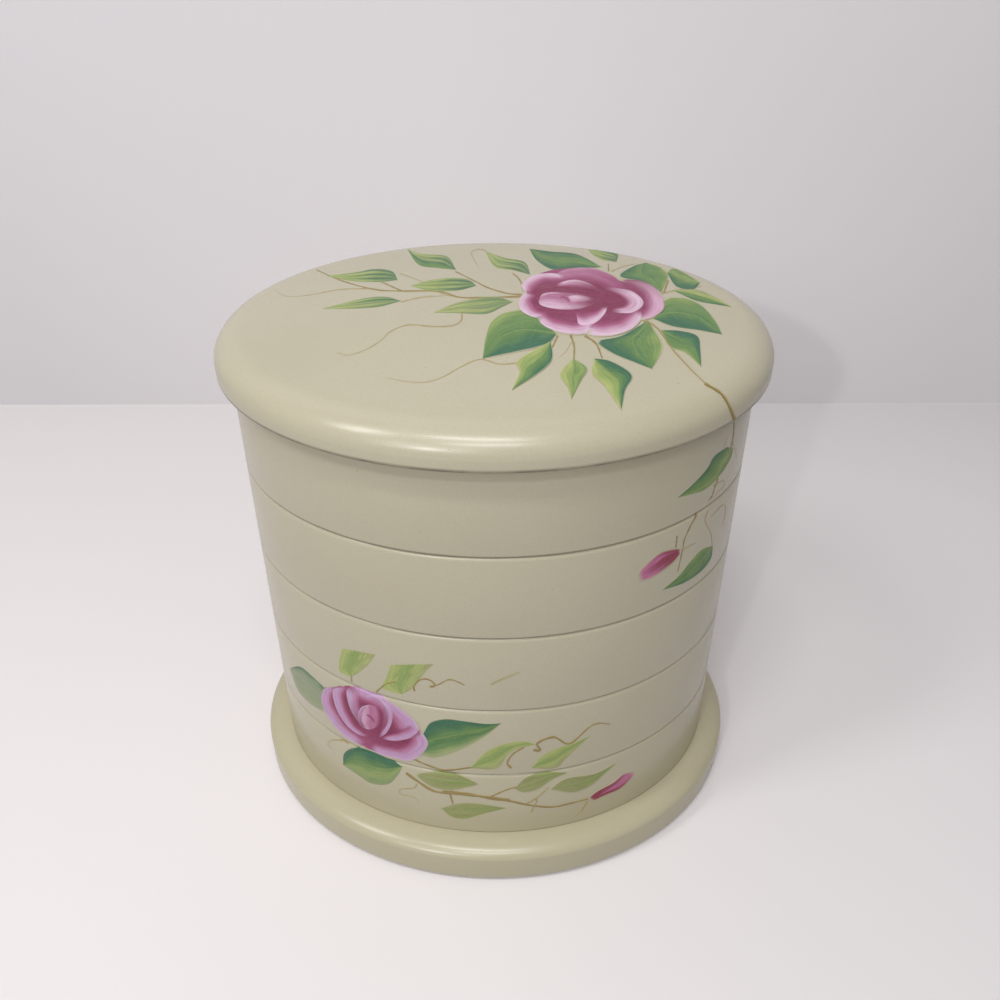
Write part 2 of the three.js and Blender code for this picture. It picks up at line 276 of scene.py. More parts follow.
TRAY_SIZE = node_size("tray_1_shell")
OVAL = Oval(TRAY_SIZE[0] / 2, TRAY_SIZE[1] / 2)
ROD_LOW, ROD_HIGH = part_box("pivot_rod")
PIVOT_Y = (ROD_LOW.y + ROD_HIGH.y) / 2
STACK_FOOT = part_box("tray_5_shell")[0].z
STACK_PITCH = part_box("tray_4_shell")[0].z - STACK_FOOT


class Graph:
    """Short way to write a material's nodes."""

    def __init__(self, name: str) -> None:
        """Make a material of that name with an empty Principled shader."""
        self.material = bpy.data.materials.new(name)
        self.material.use_nodes = True
        self.tree = self.material.node_tree
        self.shader = self.tree.nodes["Principled BSDF"]
        self.place = self.node("ShaderNodeTexCoord").outputs["Object"]

    def node(self, kind: str, **values: object) -> bpy.types.Node:
        """Add a node and set its inputs by name; linked inputs are given as sockets."""
        node = self.tree.nodes.new(kind)
        for key, value in values.items():
            self.feed(node.inputs[key.replace("_", " ")], value)
        return node

    def feed(self, socket: Socket, value: object) -> None:
        """Link a socket to an input, or set its value."""
        if isinstance(value, Socket):
            self.tree.links.new(value, socket)
        else:
            socket.default_value = value

    def axis(self, name: str) -> Socket:
        """Object coordinate X, Y or Z, in metres."""
        return self.node("ShaderNodeSeparateXYZ", Vector=self.place).outputs[name]

    def attribute(self, name: str) -> bpy.types.NodeOutputs:
        """Outputs of a mesh attribute."""
        node = self.node("ShaderNodeAttribute")
        node.attribute_name = name
        return node.outputs

    def math(self, operation: str, first: object, second: object = 0.0) -> Socket:
        """Sum, product or the like of two values."""
        node = self.node("ShaderNodeMath")
        node.operation = operation
        self.feed(node.inputs[0], first)
        self.feed(node.inputs[1], second)
        return node.outputs[0]

    def noise(self, scale: float, detail: float = 3.0, stretch: Sequence[float] = (1, 1, 1)) -> Socket:
        """Noise on Object coordinates: scale counts features to the metre, before the stretch."""
        place = self.node("ShaderNodeMapping", Vector=self.place, Scale=tuple(stretch)).outputs[0]
        return self.node("ShaderNodeTexNoise", Vector=place, Scale=scale, Detail=detail).outputs["Fac"]

    def ramp(
        self, value: Socket, low: float, high: float, start: float = 0.3, end: float = 0.7
    ) -> Socket:
        """Value spread from start..end to low..high."""
        node = self.node("ShaderNodeMapRange", Value=value)
        for name, number in (("From Min", start), ("From Max", end), ("To Min", low), ("To Max", high)):
            node.inputs[name].default_value = number
        return node.outputs[0]

    def blend(self, factor: object, first: object, second: object, mode: str = "MIX") -> Socket:
        """Mix of two colours."""
        node = self.tree.nodes.new("ShaderNodeMix")
        node.data_type, node.blend_type = "RGBA", mode
        self.feed(node.inputs[0], factor)
        self.feed(node.inputs[6], first)
        self.feed(node.inputs[7], second)
        return node.outputs[2]

    def bump(self, height: Socket, distance: float, before: Socket | None = None) -> Socket:
        """Bump of a given height in metres, over an earlier one."""
        node = self.node("ShaderNodeBump", Height=height, Distance=distance, Strength=1.0)
        if before:
            self.feed(node.inputs["Normal"], before)
        return node.outputs[0]

    def finish(self, **values: object) -> Material:
        """Set the shader's inputs by name and return the material."""
        for key, value in values.items():
            self.feed(self.shader.inputs[key.replace("_", " ")], value)
        return self.material


def linear(colour: Sequence[float]) -> tuple[float, float, float, float]:
    """Linear colour from one on the usual scale of 0 to 255."""
    share = np.asarray(colour, float) / 255
    low = share / 12.92
    high = ((share + 0.055) / 1.055) ** 2.4
    return (*np.where(share <= 0.04045, low, high), 1.0)


@dataclass(frozen=True)
class SatinPaint:
    """Sprayed satin paint on smooth wood: faint mottle, fine orange peel, a few tiny specks, and
    painted shade in the seams and towards the base.
    """

    name: str = "satin_paint"
    colour: tuple = (197, 191, 167)
    shade: tuple = (192, 185, 160)
    # the paint turns darker and yellower towards the bottom of the stack: painted shade near the base,
    # with a warmer tone
    warm_shade: tuple = (190, 182, 150)
    warm_shade_height: float = 70 * MM
    grit: tuple = (180, 172, 146)
    speck: tuple = (150, 138, 112)
    # painted shade: this dark colour is laid in a thin band just over each seam, where the gap between
    # tiers lies in shade
    seam_shade_colour: tuple = (66, 60, 42)
    seam_shade_full: float = 0.1 * MM
    seam_shade_height: float = 0.6 * MM
    roughness: float = 0.24

    def ground(self, graph: Graph) -> Socket:
        """Colour of the ground coat, with its cloudy mottle and specks, painted shade towards the base
        and painted shade in the seams.
        """
        cloud = graph.ramp(graph.noise(16, 4), 0, 1)
        grain = graph.ramp(graph.noise(1500, 5), 0, 0.3, 0.4, 0.75)
        coat = graph.blend(cloud, linear(self.colour), linear(self.shade))
        fine = graph.blend(grain, coat, linear(self.grit))
        speck = graph.ramp(graph.noise(1300, 0), 0, 0.5, 0.86, 0.9)
        # painted shade near the base: the paint blends towards the darker, warmer colour lower down
        low_down = graph.ramp(graph.axis("Z"), 0.7, 0.0, 0.0, self.warm_shade_height)
        fine = graph.blend(low_down, fine, linear(self.warm_shade))
        seam_shade_free = graph.blend(speck, fine, linear(self.speck))
        # painted shade in the seams, laid over the paint's own colour
        if not self.seam_shade_height:
            return seam_shade_free
        return graph.blend(self.painted_seam_shade(graph), seam_shade_free, linear(self.seam_shade_colour))

    def painted_seam_shade(self, graph: Graph) -> Socket:
        """Painted shade in the seam at the foot of each tier, fading with the height over the seam,
        broken by noise.
        """
        tiers = graph.math("DIVIDE", graph.math("SUBTRACT", graph.axis("Z"), STACK_FOOT), STACK_PITCH)
        full, seam_shade_free = self.seam_shade_full / STACK_PITCH, self.seam_shade_height / STACK_PITCH
        seam_darkening = graph.ramp(graph.math("FRACT", tiers), 0.85, 0.0, full, seam_shade_free)
        return graph.math("MULTIPLY", seam_darkening, graph.ramp(graph.noise(90, 3), 0.55, 1.0))

    def relief(self, graph: Graph) -> Socket:
        """Orange peel."""
        return graph.bump(graph.noise(900, 3), 0.000008)

    def gloss(self, graph: Graph) -> Socket:
        """Roughness that drifts a little, as rubbed paint does."""
        return graph.ramp(graph.noise(25, 2), self.roughness - 0.02, self.roughness + 0.03, 0.1, 0.9)

    def material(self) -> Material:
        """The finish as a material."""
        graph = Graph(self.name)
        return graph.finish(
            Base_Color=self.ground(graph),
            Roughness=self.gloss(graph),
            Normal=self.relief(graph),
            Specular_IOR_Level=0.5,
        )


@dataclass(frozen=True)
class BrushPaint:
    """Decorator's colour laid over the ground coat: the stroke's own colour and cover, with streaks."""

    ground: SatinPaint
    name: str = "brush_paint"

    def bristles(self, graph: Graph, run: Socket, fine: float, low: float, high: float) -> Socket:
        """Grey streaks along the strokes, fine of them to the millimetre, between two levels."""
        along = graph.node("ShaderNodeMapping", Vector=run, Scale=(0.1, 1, 1)).outputs[0]
        noise = graph.node("ShaderNodeTexNoise", Vector=along, Scale=fine, Detail=2.0).outputs["Fac"]
        level = graph.ramp(noise, low, high)
        return graph.node("ShaderNodeCombineColor", Red=level, Green=level, Blue=level).outputs[0]

    def material(self) -> Material:
        """The finish as a material. It reads the strokes' attributes."""
        graph = Graph(self.name)
        tint, run = graph.attribute(STROKE_COLOUR), graph.attribute(STROKE_PLACE)["Vector"]
        bristles = self.bristles(graph, run, 1.5, 0.88, 1.1)
        hairs = self.bristles(graph, run, 5.0, 0.9, 1.1)
        colour = graph.blend(1.0, tint["Color"], bristles, "MULTIPLY")
        colour = graph.blend(1.0, colour, hairs, "MULTIPLY")
        thin = graph.ramp(graph.noise(1100, 2), 0.95, 1.0)
        cover = graph.math("MULTIPLY", tint["Alpha"], thin)
        return graph.finish(
            Base_Color=graph.blend(cover, self.ground.ground(graph), colour),
            Roughness=graph.ramp(graph.noise(300, 3), 0.34, 0.48),
            Specular_IOR_Level=0.22,
            Normal=graph.bump(graph.noise(1300, 3, (1, 1, 0.4)), 0.00002),
        )


@dataclass(frozen=True)
class Cloth:
    """Velvet or felt: short pile with sheen, pressed patches and fibres."""

    name: str
    colour: tuple
    deep: tuple
    sheen: float
    fibre: float = 2600

    def material(self) -> Material:
        """The finish as a material."""
        graph = Graph(self.name)
        pressed = graph.ramp(graph.noise(35, 4), 0, 1, 0.35, 0.65)
        fibres = graph.ramp(graph.noise(self.fibre, 3), 0, 1)
        base = graph.blend(pressed, linear(self.colour), linear(self.deep))
        colour = graph.blend(graph.ramp(fibres, 0, 0.45, 0, 1), base, linear(self.deep))
        nap = graph.bump(graph.noise(self.fibre, 4), 0.00012)
        tint = tuple(min(1.0, 1.6 * part + 0.12) for part in linear(self.colour)[:3]) + (1.0,)
        return graph.finish(
            Base_Color=colour,
            Roughness=0.95,
            Normal=graph.bump(graph.noise(160, 3), 0.0002, nap),
            Sheen_Weight=self.sheen,
            Sheen_Roughness=0.45,
            Sheen_Tint=tint,
            Specular_IOR_Level=0.15,
        )


@dataclass(frozen=True)
class Metal:
    """Turned or pressed metal with fine tool marks and dull patches."""

    name: str
    colour: tuple
    dull: tuple
    roughness: float

    def material(self) -> Material:
        """The finish as a material."""
        graph = Graph(self.name)
        marks = graph.noise(900, 3, (1, 1, 6))
        patches = graph.ramp(graph.noise(140, 5), 0, 1, 0.4, 0.7)
        return graph.finish(
            Base_Color=graph.blend(patches, linear(self.colour), linear(self.dull)),
            Metallic=1.0,
            Roughness=graph.ramp(marks, self.roughness - 0.08, self.roughness + 0.12),
            Normal=graph.bump(marks, 0.00001),
        )


@dataclass(frozen=True)
class Fibreboard:
    """Bare board: short fibres of two browns under a thin seal."""

    name: str = "bare_fibreboard"
    colour: tuple = (176, 143, 102)
    dark: tuple = (132, 99, 64)

    def material(self) -> Material:
        """The finish as a material."""
        graph = Graph(self.name)
        fibres = graph.ramp(graph.noise(900, 6, (1, 4, 1)), 0, 1, 0.35, 0.68)
        clouds = graph.ramp(graph.noise(60, 3), 0, 0.5)
        wood = graph.blend(fibres, linear(self.colour), linear(self.dark))
        return graph.finish(
            Base_Color=graph.blend(clouds, wood, linear(self.colour)),
            Roughness=graph.ramp(fibres, 0.62, 0.85, 0, 1),
            Normal=graph.bump(fibres, 0.00005),
        )


@dataclass(frozen=True)
class MouldedNylon:
    """Natural nylon: milky, with flow clouds and a matt skin."""

    name: str = "natural_nylon"
    colour: tuple = (226, 221, 206)
    milky: tuple = (205, 197, 176)

    def material(self) -> Material:
        """The finish as a material."""
        graph = Graph(self.name)
        flow = graph.ramp(graph.noise(120, 4), 0, 0.5)
        return graph.finish(
            Base_Color=graph.blend(flow, linear(self.colour), linear(self.milky)),
            Roughness=graph.ramp(graph.noise(500, 3), 0.42, 0.6),
            Normal=graph.bump(graph.noise(1400, 3), 0.00001),
            Subsurface_Weight=0.15,
            Subsurface_Radius=(0.002, 0.0015, 0.001),
        )


STROKE_COLOUR = "stroke_colour"
STROKE_PLACE = "stroke_place"
SATIN = SatinPaint()
FINISHES: dict[str, Material] = {
    "painted_wood": SATIN.material(),
    # the lid's paint carries a wider band of painted shade along its lower edge, over tray 1
    "lid_paint": SatinPaint("satin_paint_lid", seam_shade_full=0.55 * MM, seam_shade_height=1.3 * MM).material(),
    # the base's paint carries no painted seam shade
    "paint_without_seam_shade": SatinPaint("satin_paint_without_seam_shade", seam_shade_height=0.0).material(),
    "brush": BrushPaint(SATIN).material(),
    "velvet": Cloth("rose_velvet", (128, 74, 88), (84, 42, 54), 0.8).material(),
    "felt": Cloth("grey_felt", (104, 100, 92), (72, 69, 62), 0.35, 1500).material(),
    "steel": Metal("zinc_steel", (186, 189, 192), (150, 152, 153), 0.34).material(),
    "brass": Metal("satin_brass", (205, 166, 92), (168, 128, 66), 0.33).material(),
    "bare_board": Fibreboard().material(),
    "nylon": MouldedNylon().material(),
}
FINISHES["velvet_board"] = FINISHES["velvet"]


def dress(piece: Piece, finish: str) -> None:
    """Give every slot of a piece one finish."""
    piece.data.materials.clear()
    piece.data.materials.append(FINISHES[finish])


def place(piece: Piece, body: str, finish: str, slot: str, nodes: Sequence[str] = ()) -> Piece:
    """Dress a new piece, let it ride on a body, and hide the nodes that it replaces.

    Args:
        piece: the new piece.
        body: the body that carries it.
        finish: key of its finish.
        slot: the record's material slot; not used.
        nodes: the nodes that it replaces.

    Returns:
        The piece.
    """
    dress(piece, finish)
    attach(piece, body)
    if nodes:
        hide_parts(*nodes)
    LOG.info("%s rides on %s", piece.name, body)
    return piece


def cut_flat(piece: Piece) -> Piece:
    """Read the points, face normals and face areas of a flat piece of cloth, and return the piece
    unchanged.
    """
    mesh = piece.data
    spots, normals = np.zeros(3 * len(mesh.vertices)), np.zeros(3 * len(mesh.polygons))
    areas = np.zeros(len(mesh.polygons))
    mesh.vertices.foreach_get("co", spots)
    mesh.polygons.foreach_get("normal", normals)
    mesh.polygons.foreach_get("area", areas)
    return piece


def bored(name: str, profile: Sequence[tuple[float, float]]) -> Piece:
    """Closed cutter about the rod, from radius and height pairs."""
    return new_object(name, *ring_body(revolved(profile, 0, PIVOT_Y)))


def upright(name: str, radius: float, low: float, high: float) -> Piece:
    """Closed upright cylinder about the rod."""
    return bored(name, [(radius, low), (radius, high)])


@dataclass(frozen=True)
class Screw:
    """Countersunk screw in its node's box: a dished head, a cone, a ridged shank and a point."""

    node: str
    body: str
    finish: str
    shank: float = 0.5
    dish: tuple = ((0.0, 0.25 * MM), (0.55, 0.2 * MM), (0.97, 0.0), (1.0, 0.1 * MM))
    pitch: float = 0.9 * MM
    ridge: float = 0.14

    def build(self) -> None:
        """Turn the screw about its axis, its radius swelling and shrinking along the shank."""
        low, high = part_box(self.node)
        head = (high.x - low.x) / 2
        shank = head * self.shank
        neck = low.z + head - shank
        run = np.linspace(neck + 0.3 * MM, high.z - shank, 60)
        swell = np.abs(np.sin((run - neck) / self.pitch * np.pi))
        ridges = shank * (1 - self.ridge + self.ridge * swell)
        profile = [(head * share, low.z + rise) for share, rise in self.dish]
        profile += [(shank, neck), *zip(ridges, run), (0.0, high.z)]
        rings = revolved(profile, (low.x + high.x) / 2, (low.y + high.y) / 2, 32)
        faces = grid_faces(*rings.shape[:2], True)
        piece = new_object(f"{self.node}_turned", rings.reshape(-1, 3), faces)
        place(piece, self.body, self.finish, self.finish, [self.node])


@dataclass
class Lid:
    """Lid board with its lining and the parts of the blind pivot."""

    overhang: float = 0.0
    low: float = 0.0
    high: float = 0.0
    round_width: float = 9 * MM
    round_height: float = 6.5 * MM
    dome: float = 3 * MM
    arris: float = 0.5 * MM
    seat_inset: float = 8 * MM
    seat_bay: float = 2 * MM
    velvet_inset: float = 8.3 * MM
    velvet_bay: float = 2.6 * MM
    velvet_play: float = 0.05 * MM
    velvet_round: float = 0.35 * MM
    steps: int = 384
    lining_depth: float = 0.0

    def __post_init__(self) -> None:
        """Read the board's place from the frame."""
        low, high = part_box("lid_board")
        self.low, self.high = low.z, high.z
        self.overhang = (high.x - low.x) / 2 - OVAL.half_length
        self.lining_depth = node_size("lid_lining")[2]

    @property
    def shoulder(self) -> float:
        """Height at which the dome starts."""
        return self.high - self.dome

    def crown_share(self, plan: Array) -> Array:
        """Squared distance from the middle, as a share of the shoulder oval."""
        inset = self.round_width - self.overhang
        length, depth = OVAL.half_length - inset, OVAL.half_depth - inset
        return (plan[..., 0] / length) ** 2 + (plan[..., 1] / depth) ** 2

    def height(self, plan: Array, edge: Array) -> Array:
        """Height of the upper face: a parabolic dome, less an elliptic drop towards the edge.

        Args:
            plan: points in plan, shape (..., 2).
            edge: their distances in from the lid's edge.
        """
        reach = np.clip(1 - edge / self.round_width, 0, 1)
        drop = self.round_height * (1 - np.sqrt(1 - reach**2))
        return self.shoulder + self.dome * (1 - self.crown_share(plan)) - drop

    def board(self) -> Piece:
        """Board lofted from the lower arris, over the rounded edge, to the middle of the dome."""
        turn = np.linspace(0, np.pi / 2, 28)
        edge = self.round_width * (1 - np.cos(turn))
        inset, rise = quarter(self.arris, self.arris, 8, True)
        below = OVAL.rings(inset - self.overhang, self.low + self.arris - rise, self.steps)
        rim = OVAL.rings(edge - self.overhang, np.zeros(len(edge)), self.steps)
        rim[..., 2] = self.height(rim[..., :2], edge[:, None])
        crown, _ = shrunk(rim[-1], 26)
        crown[..., 2] = self.height(crown[..., :2], np.full(crown.shape[:2], self.round_width))
        points, faces = ring_body(np.concatenate([below, rim, crown]))
        points[-1, 2] = self.high
        piece = new_object("lid_painted_board", points, faces)
        carve(piece, self.cutters())
        return place(piece, "lid", "lid_paint", "painted_wood", ["lid_board"])

    def cutters(self) -> list[Piece]:
        """Bodies of the seats of the lining, the pivot plate and the rod's head."""
        width, _, depth = node_size("lid_pivot_plate")
        foot = self.low - OVERRUN
        ceiling = self.low + self.lining_depth
        seat = self.oval_sheet("lining_cut", self.seat_inset, foot, ceiling, self.seat_bay)
        plate = upright("plate_cut", width / 2 + SEAT_FIT, foot, self.low + depth)
        head = upright("head_cut", ROD_HEAD + SEAT_FIT, foot, ROD_HIGH.z + SEAT_FIT)
        return [seat, plate, head]

    def oval_sheet(self, name: str, inset: float, low: float, high: float, room: float) -> Piece:
        """Oval slab with a round bay, which leaves room about the pivot plate."""
        sheet = new_object(name, *ring_body(OVAL.rings([inset, inset], [low, high], 192)))
        bay = node_size("lid_pivot_plate")[0] / 2 + room
        carve(sheet, [upright("bay_cut", bay, low - OVERRUN, high + OVERRUN)])
        return sheet

    def lining(self) -> Piece:
        """Velvet let in flush under the board."""
        low = self.low + self.velvet_play
        high = self.low + self.lining_depth - self.velvet_play
        piece = self.oval_sheet("lid_velvet", self.velvet_inset, low, high, self.velvet_bay)
        soften(piece, self.velvet_round)
        place(piece, "lid", "velvet", "velvet", ["lid_lining"])
        return cut_flat(piece)

    def build(self) -> None:
        """Make the lid's pieces."""
        self.board()
        self.lining()
        plate = rounded_copy("lid_brass_plate", "lid_pivot_plate", 0.2 * MM)
        place(plate, "lid", "brass", "brass", ["lid_pivot_plate"])
        for i in (1, 2, 3):
            Screw(f"lid_plate_screw_{i}", "lid", "brass").build()


@dataclass
class Tray:
    """One tier: painted wall with its boss, floor board, velvet, bush and washer."""

    number: int
    wall: float = 6 * MM
    rim_round: float = 1.2 * MM
    foot_round: float = 0.3 * MM
    inner_round: float = 0.7 * MM
    lip: float = 3 * MM
    boss: float = 11 * MM
    cove: float = 4 * MM
    cove_reach: float = 15 * MM
    bush_bore: float = 4.8 * MM
    velvet_room: float = 0.25 * MM
    velvet_dip: float = 0.15 * MM
    steps: int = 480
    low: float = 0.0
    high: float = 0.0

    def __post_init__(self) -> None:
        """Read the tray's height from the frame."""
        low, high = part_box(f"{self.name}_shell")
        self.low, self.high = low.z, high.z

    @property
    def name(self) -> str:
        """Start of the names of the tray's nodes."""
        return f"tray_{self.number}"

    @property
    def body(self) -> str:
        """Name of the body that carries the tray."""
        return "base" if self.number == FIXED_TRAY else self.name

    def arris_inset(self, level: Array) -> Array:
        """How far the wall's outer face draws in at a height, over its two rounded arrises."""
        inset = np.zeros_like(level)
        for edge, radius, sign in ((self.high, self.rim_round, 1), (self.low, self.foot_round, -1)):
            past = np.clip(sign * (level - edge) / radius + 1, 0, 1)
            inset = np.maximum(inset, radius * (1 - np.sqrt(1 - past**2)))
        return inset

    def inner_outline(self, angle: Array) -> tuple[Array, Array]:
        """Inside of the wall in plan: the smaller, softly blended, of the oval's and the boss's radius.

        Args:
            angle: parameter angles of the oval.

        Returns:
            The outline's points, shape (..., 2), and the share of the boss at each, from 0 to 1.
        """
        oval = OVAL.rim(angle, np.full(angle.shape, self.wall))
        reach = np.hypot(oval[:, 0], oval[:, 1])
        way = oval / reach[:, None]
        along = PIVOT_Y * way[:, 1]
        room = self.boss**2 - (PIVOT_Y * way[:, 0]) ** 2
        miss = np.sqrt(np.abs(room))
        near = np.where(room > 0, along - miss, along + miss * (1 + (miss / self.cove_reach) ** 2))
        near = np.where(way[:, 1] > 0, near, 1.0)
        mix = np.clip(0.5 + 0.5 * (reach - near) / self.cove, 0, 1)
        radius = reach * (1 - mix) + near * mix - self.cove * mix * (1 - mix)
        return way * radius[:, None], mix

    def shell(self) -> Piece:
        """Wall as a closed section carried round the oval, with the rod's bore cut afterwards."""
        angle = turns(self.steps) + np.pi / 2
        inner, boss = self.inner_outline(angle)
        way = inner / np.hypot(inner[:, 0], inner[:, 1])[:, None]
        foot_inset, foot_rise = quarter(self.foot_round, self.foot_round, 5, True)
        rim_inset, rim_rise = quarter(self.rim_round, self.rim_round, 8, False)
        insets = np.concatenate([foot_inset, rim_inset])
        foot, rim = self.low + self.foot_round - foot_rise, self.high - self.rim_round + rim_rise
        plan = OVAL.rim(angle[None], insets[:, None] + 0 * angle[None])
        outside = raised(plan, np.concatenate([foot, rim]))
        edge_inset, edge_rise = quarter(self.inner_round, self.inner_round, 6, True)
        floor_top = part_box(f"{self.name}_floor")[1].z
        lip = 0.0 if self.number == FIXED_TRAY else self.lip
        offsets = np.concatenate([edge_inset, [0.0, lip, lip]])
        edge = self.high - self.inner_round + edge_rise
        on_lip = offsets > self.inner_round + SAME_POINT
        share = np.where(on_lip[:, None], 1 - boss[None], 1)
        inside = inner[None] + way[None] * (offsets[:, None] * share)[..., None]
        inside = raised(inside, np.concatenate([edge, [floor_top, floor_top, self.low]]))
        section = np.concatenate([outside, inside])
        rows = len(section)
        faces = grid_faces(rows, self.steps, True).tolist()
        around = np.arange(self.steps)
        after = (around + 1) % self.steps
        last = (rows - 1) * self.steps
        faces += np.stack([last + around, last + after, after, around], axis=-1).tolist()
        piece = new_object(f"{self.name}_painted_wall", section.reshape(-1, 3), faces)
        carve(piece, [self.bore()])
        return place(piece, self.body, "painted_wood", "painted_wood", [f"{self.name}_shell"])

    def bore(self) -> Piece:
        """Body of the rod's bore and of the washer's seat above it."""
        washer = node_size(f"{self.name}_washer")[0] / 2 + SEAT_FIT
        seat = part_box(f"{self.name}_washer")[0].z
        bush = ROD_BORE if self.number == FIXED_TRAY else self.bush_bore
        foot, top = self.low - OVERRUN, self.high + OVERRUN
        return bored("bore_cut", [(bush, foot), (bush, seat), (washer, seat), (washer, top)])

    def velvet(self) -> Piece:
        """Velvet on the floor: it dips a little in the middle and its pile rolls over at the wall."""
        liner = f"{self.name}_liner"
        low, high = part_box(liner)
        inner, _ = self.inner_outline(turns(self.steps) + np.pi / 2)
        reach = np.hypot(inner[:, 0], inner[:, 1])
        way = inner / reach[:, None]
        inset = np.array([0.5, 0.0, 0.0, 0.25, 0.7, 1.6]) * MM + self.velvet_room
        rise, drop = np.array([0.0, 0.3]) * MM, np.array([0.5, 0.1, 0.0, 0.0]) * MM
        plan = way[None] * (reach[None] - inset[:, None])[..., None]
        rings = raised(plan, np.concatenate([low.z + rise, high.z - drop]))
        field_rings, share = shrunk(rings[-1], 14)
        field_rings[..., 2] = high.z - self.velvet_dip * (1 - share[:, None] ** 2)
        piece = new_object(f"{self.name}_velvet", *ring_body(np.concatenate([rings, field_rings])))
        place(piece, self.body, "velvet", "velvet", [liner])
        return cut_flat(piece)

    def build(self) -> None:
        """Make the tray's pieces and finish those kept from the frame."""
        self.shell()
        self.velvet()
        washer = rounded_copy(f"{self.name}_nylon_washer", f"{self.name}_washer", 0.15 * MM, 2)
        place(washer, "base", "nylon", "nylon", [f"{self.name}_washer"])
        if self.number != FIXED_TRAY:
            bush = rounded_copy(f"{self.name}_nylon_bush", f"{self.name}_bush", 0.2 * MM, 2)
            place(bush, self.body, "nylon", "nylon", [f"{self.name}_bush"])
        for node in frame["nodes"]:
            if node.startswith(self.name) and node.endswith("divider"):
                board = rounded_copy(f"{node}_flocked", node, 0.9 * MM, 4)
                place(board, self.body, "velvet", "velvet_board", [node])


@dataclass
class RingRoll:
    """Stuffed velvet roll: a tube with round gathered ends, a flat foot and a sewn seam."""

    number: int
    around: int = 72
    along: int = 220
    gathers: int = 16
    gather_depth: float = 0.05
    lump: float = 0.012
    squareness: float = 2.5
    seam_depth: float = 0.1
    seam_angle: float = 1.5 * np.pi
    seam_width: float = 0.12
    fill: float = 0.9
    # shares of the node's box that the roll takes up, in length, round and height
    ends: float = 0.999
    girth: float = 0.97
    depth: float = 0.97
    height: float = 0.98

    def build(self) -> Piece:
        """Make the roll in its node's box.

        The section is a superellipse, u runs round it and v along the roll. The radius falls off
        at the ends as a quarter circle, and shallow gathers fan out from each end.
        """
        node = f"ring_roll_{self.number}"
        low, high = (np.array(corner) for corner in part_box(node))
        middle, half = (low + high) / 2, (high - low) / 2
        random = np.random.default_rng(10 + self.number)
        u = turns(self.around)[None, :]
        v = np.linspace(0, 1, self.along)[:, None]
        cap = half[1] / half[0]
        x = np.cos(np.pi * (1 - v)) * half[0] * self.ends
        beyond = np.clip((np.abs(x) / half[0] - (1 - cap)) / cap, 0, 1)
        swell = np.sqrt(np.clip(1 - beyond**2, 0, 1))
        phase = random.uniform(0, 2 * np.pi, 3)
        fan = np.sin(self.gathers * u + phase[0]) * np.exp(-(((1 - beyond) * 2.2) ** 2))
        lumps = self.lump * np.sin(x / half[0] * 9 + phase[1]) * np.cos(2 * u + phase[2])
        radius = self.girth * swell * (1 + self.gather_depth * fan * (swell < 1) + lumps)
        cos, sin, power = np.cos(u), np.sin(u), self.squareness
        bulge = (np.abs(cos) ** power + np.abs(sin) ** power) ** (-1 / power)
        seam = 1 - self.seam_depth * np.exp(-(((u - self.seam_angle) / self.seam_width) ** 2))
        y = half[1] * self.depth * radius * bulge * cos * seam
        z = half[2] * self.height * radius * bulge * sin * seam
        points = np.stack([x + 0 * u, y, z], axis=-1) + middle
        points[..., 2] = np.maximum(points[..., 2], low[2])
        body, faces = ring_body(points)
        piece = new_object(f"{node}_velvet", body, faces, 1.2)
        place(piece, "tray_1", "velvet", "velvet", [node])
        return piece


@dataclass(frozen=True)
class Rod:
    """Rod with a flat head above and a thread below, whose radius swells along a helix."""

    pitch: float = 0.8 * MM
    thread: float = 14 * MM
    depth: float = 0.35 * MM
    runout: float = 0.3 * MM
    head: float = 2.5 * MM
    arris: float = 0.4 * MM

    def build(self) -> Piece:
        """Make the rod on a grid of u round it and v up it: the thread is a wave of v / pitch - u."""
        top, neck = ROD_LOW.z + self.thread, ROD_HIGH.z - self.head
        threaded = np.arange(ROD_LOW.z + self.arris, top, self.pitch / 6)
        above = [top + self.runout, neck, neck, ROD_HIGH.z - self.arris, ROD_HIGH.z]
        level = np.concatenate([[ROD_LOW.z], threaded, above])
        plain = np.full(len(level), ROD_RADIUS)
        plain[0] = ROD_RADIUS - self.arris
        plain[-3:] = [ROD_HEAD, ROD_HEAD, ROD_HEAD - self.arris]
        angle = turns(32)
        wave = np.abs(((level[:, None] / self.pitch - angle[None] / (2 * np.pi)) % 1) - 0.5) * 2
        in_thread = (level > threaded[0]) & (level < top - self.pitch)
        reach = plain[:, None] - self.depth * wave * in_thread[:, None]
        plan = np.stack([reach * np.cos(angle), reach * np.sin(angle) + PIVOT_Y], axis=-1)
        piece = new_object("pivot_rod_turned", *ring_body(raised(plan, level)))
        return place(piece, "base", "steel", "steel", ["pivot_rod"])


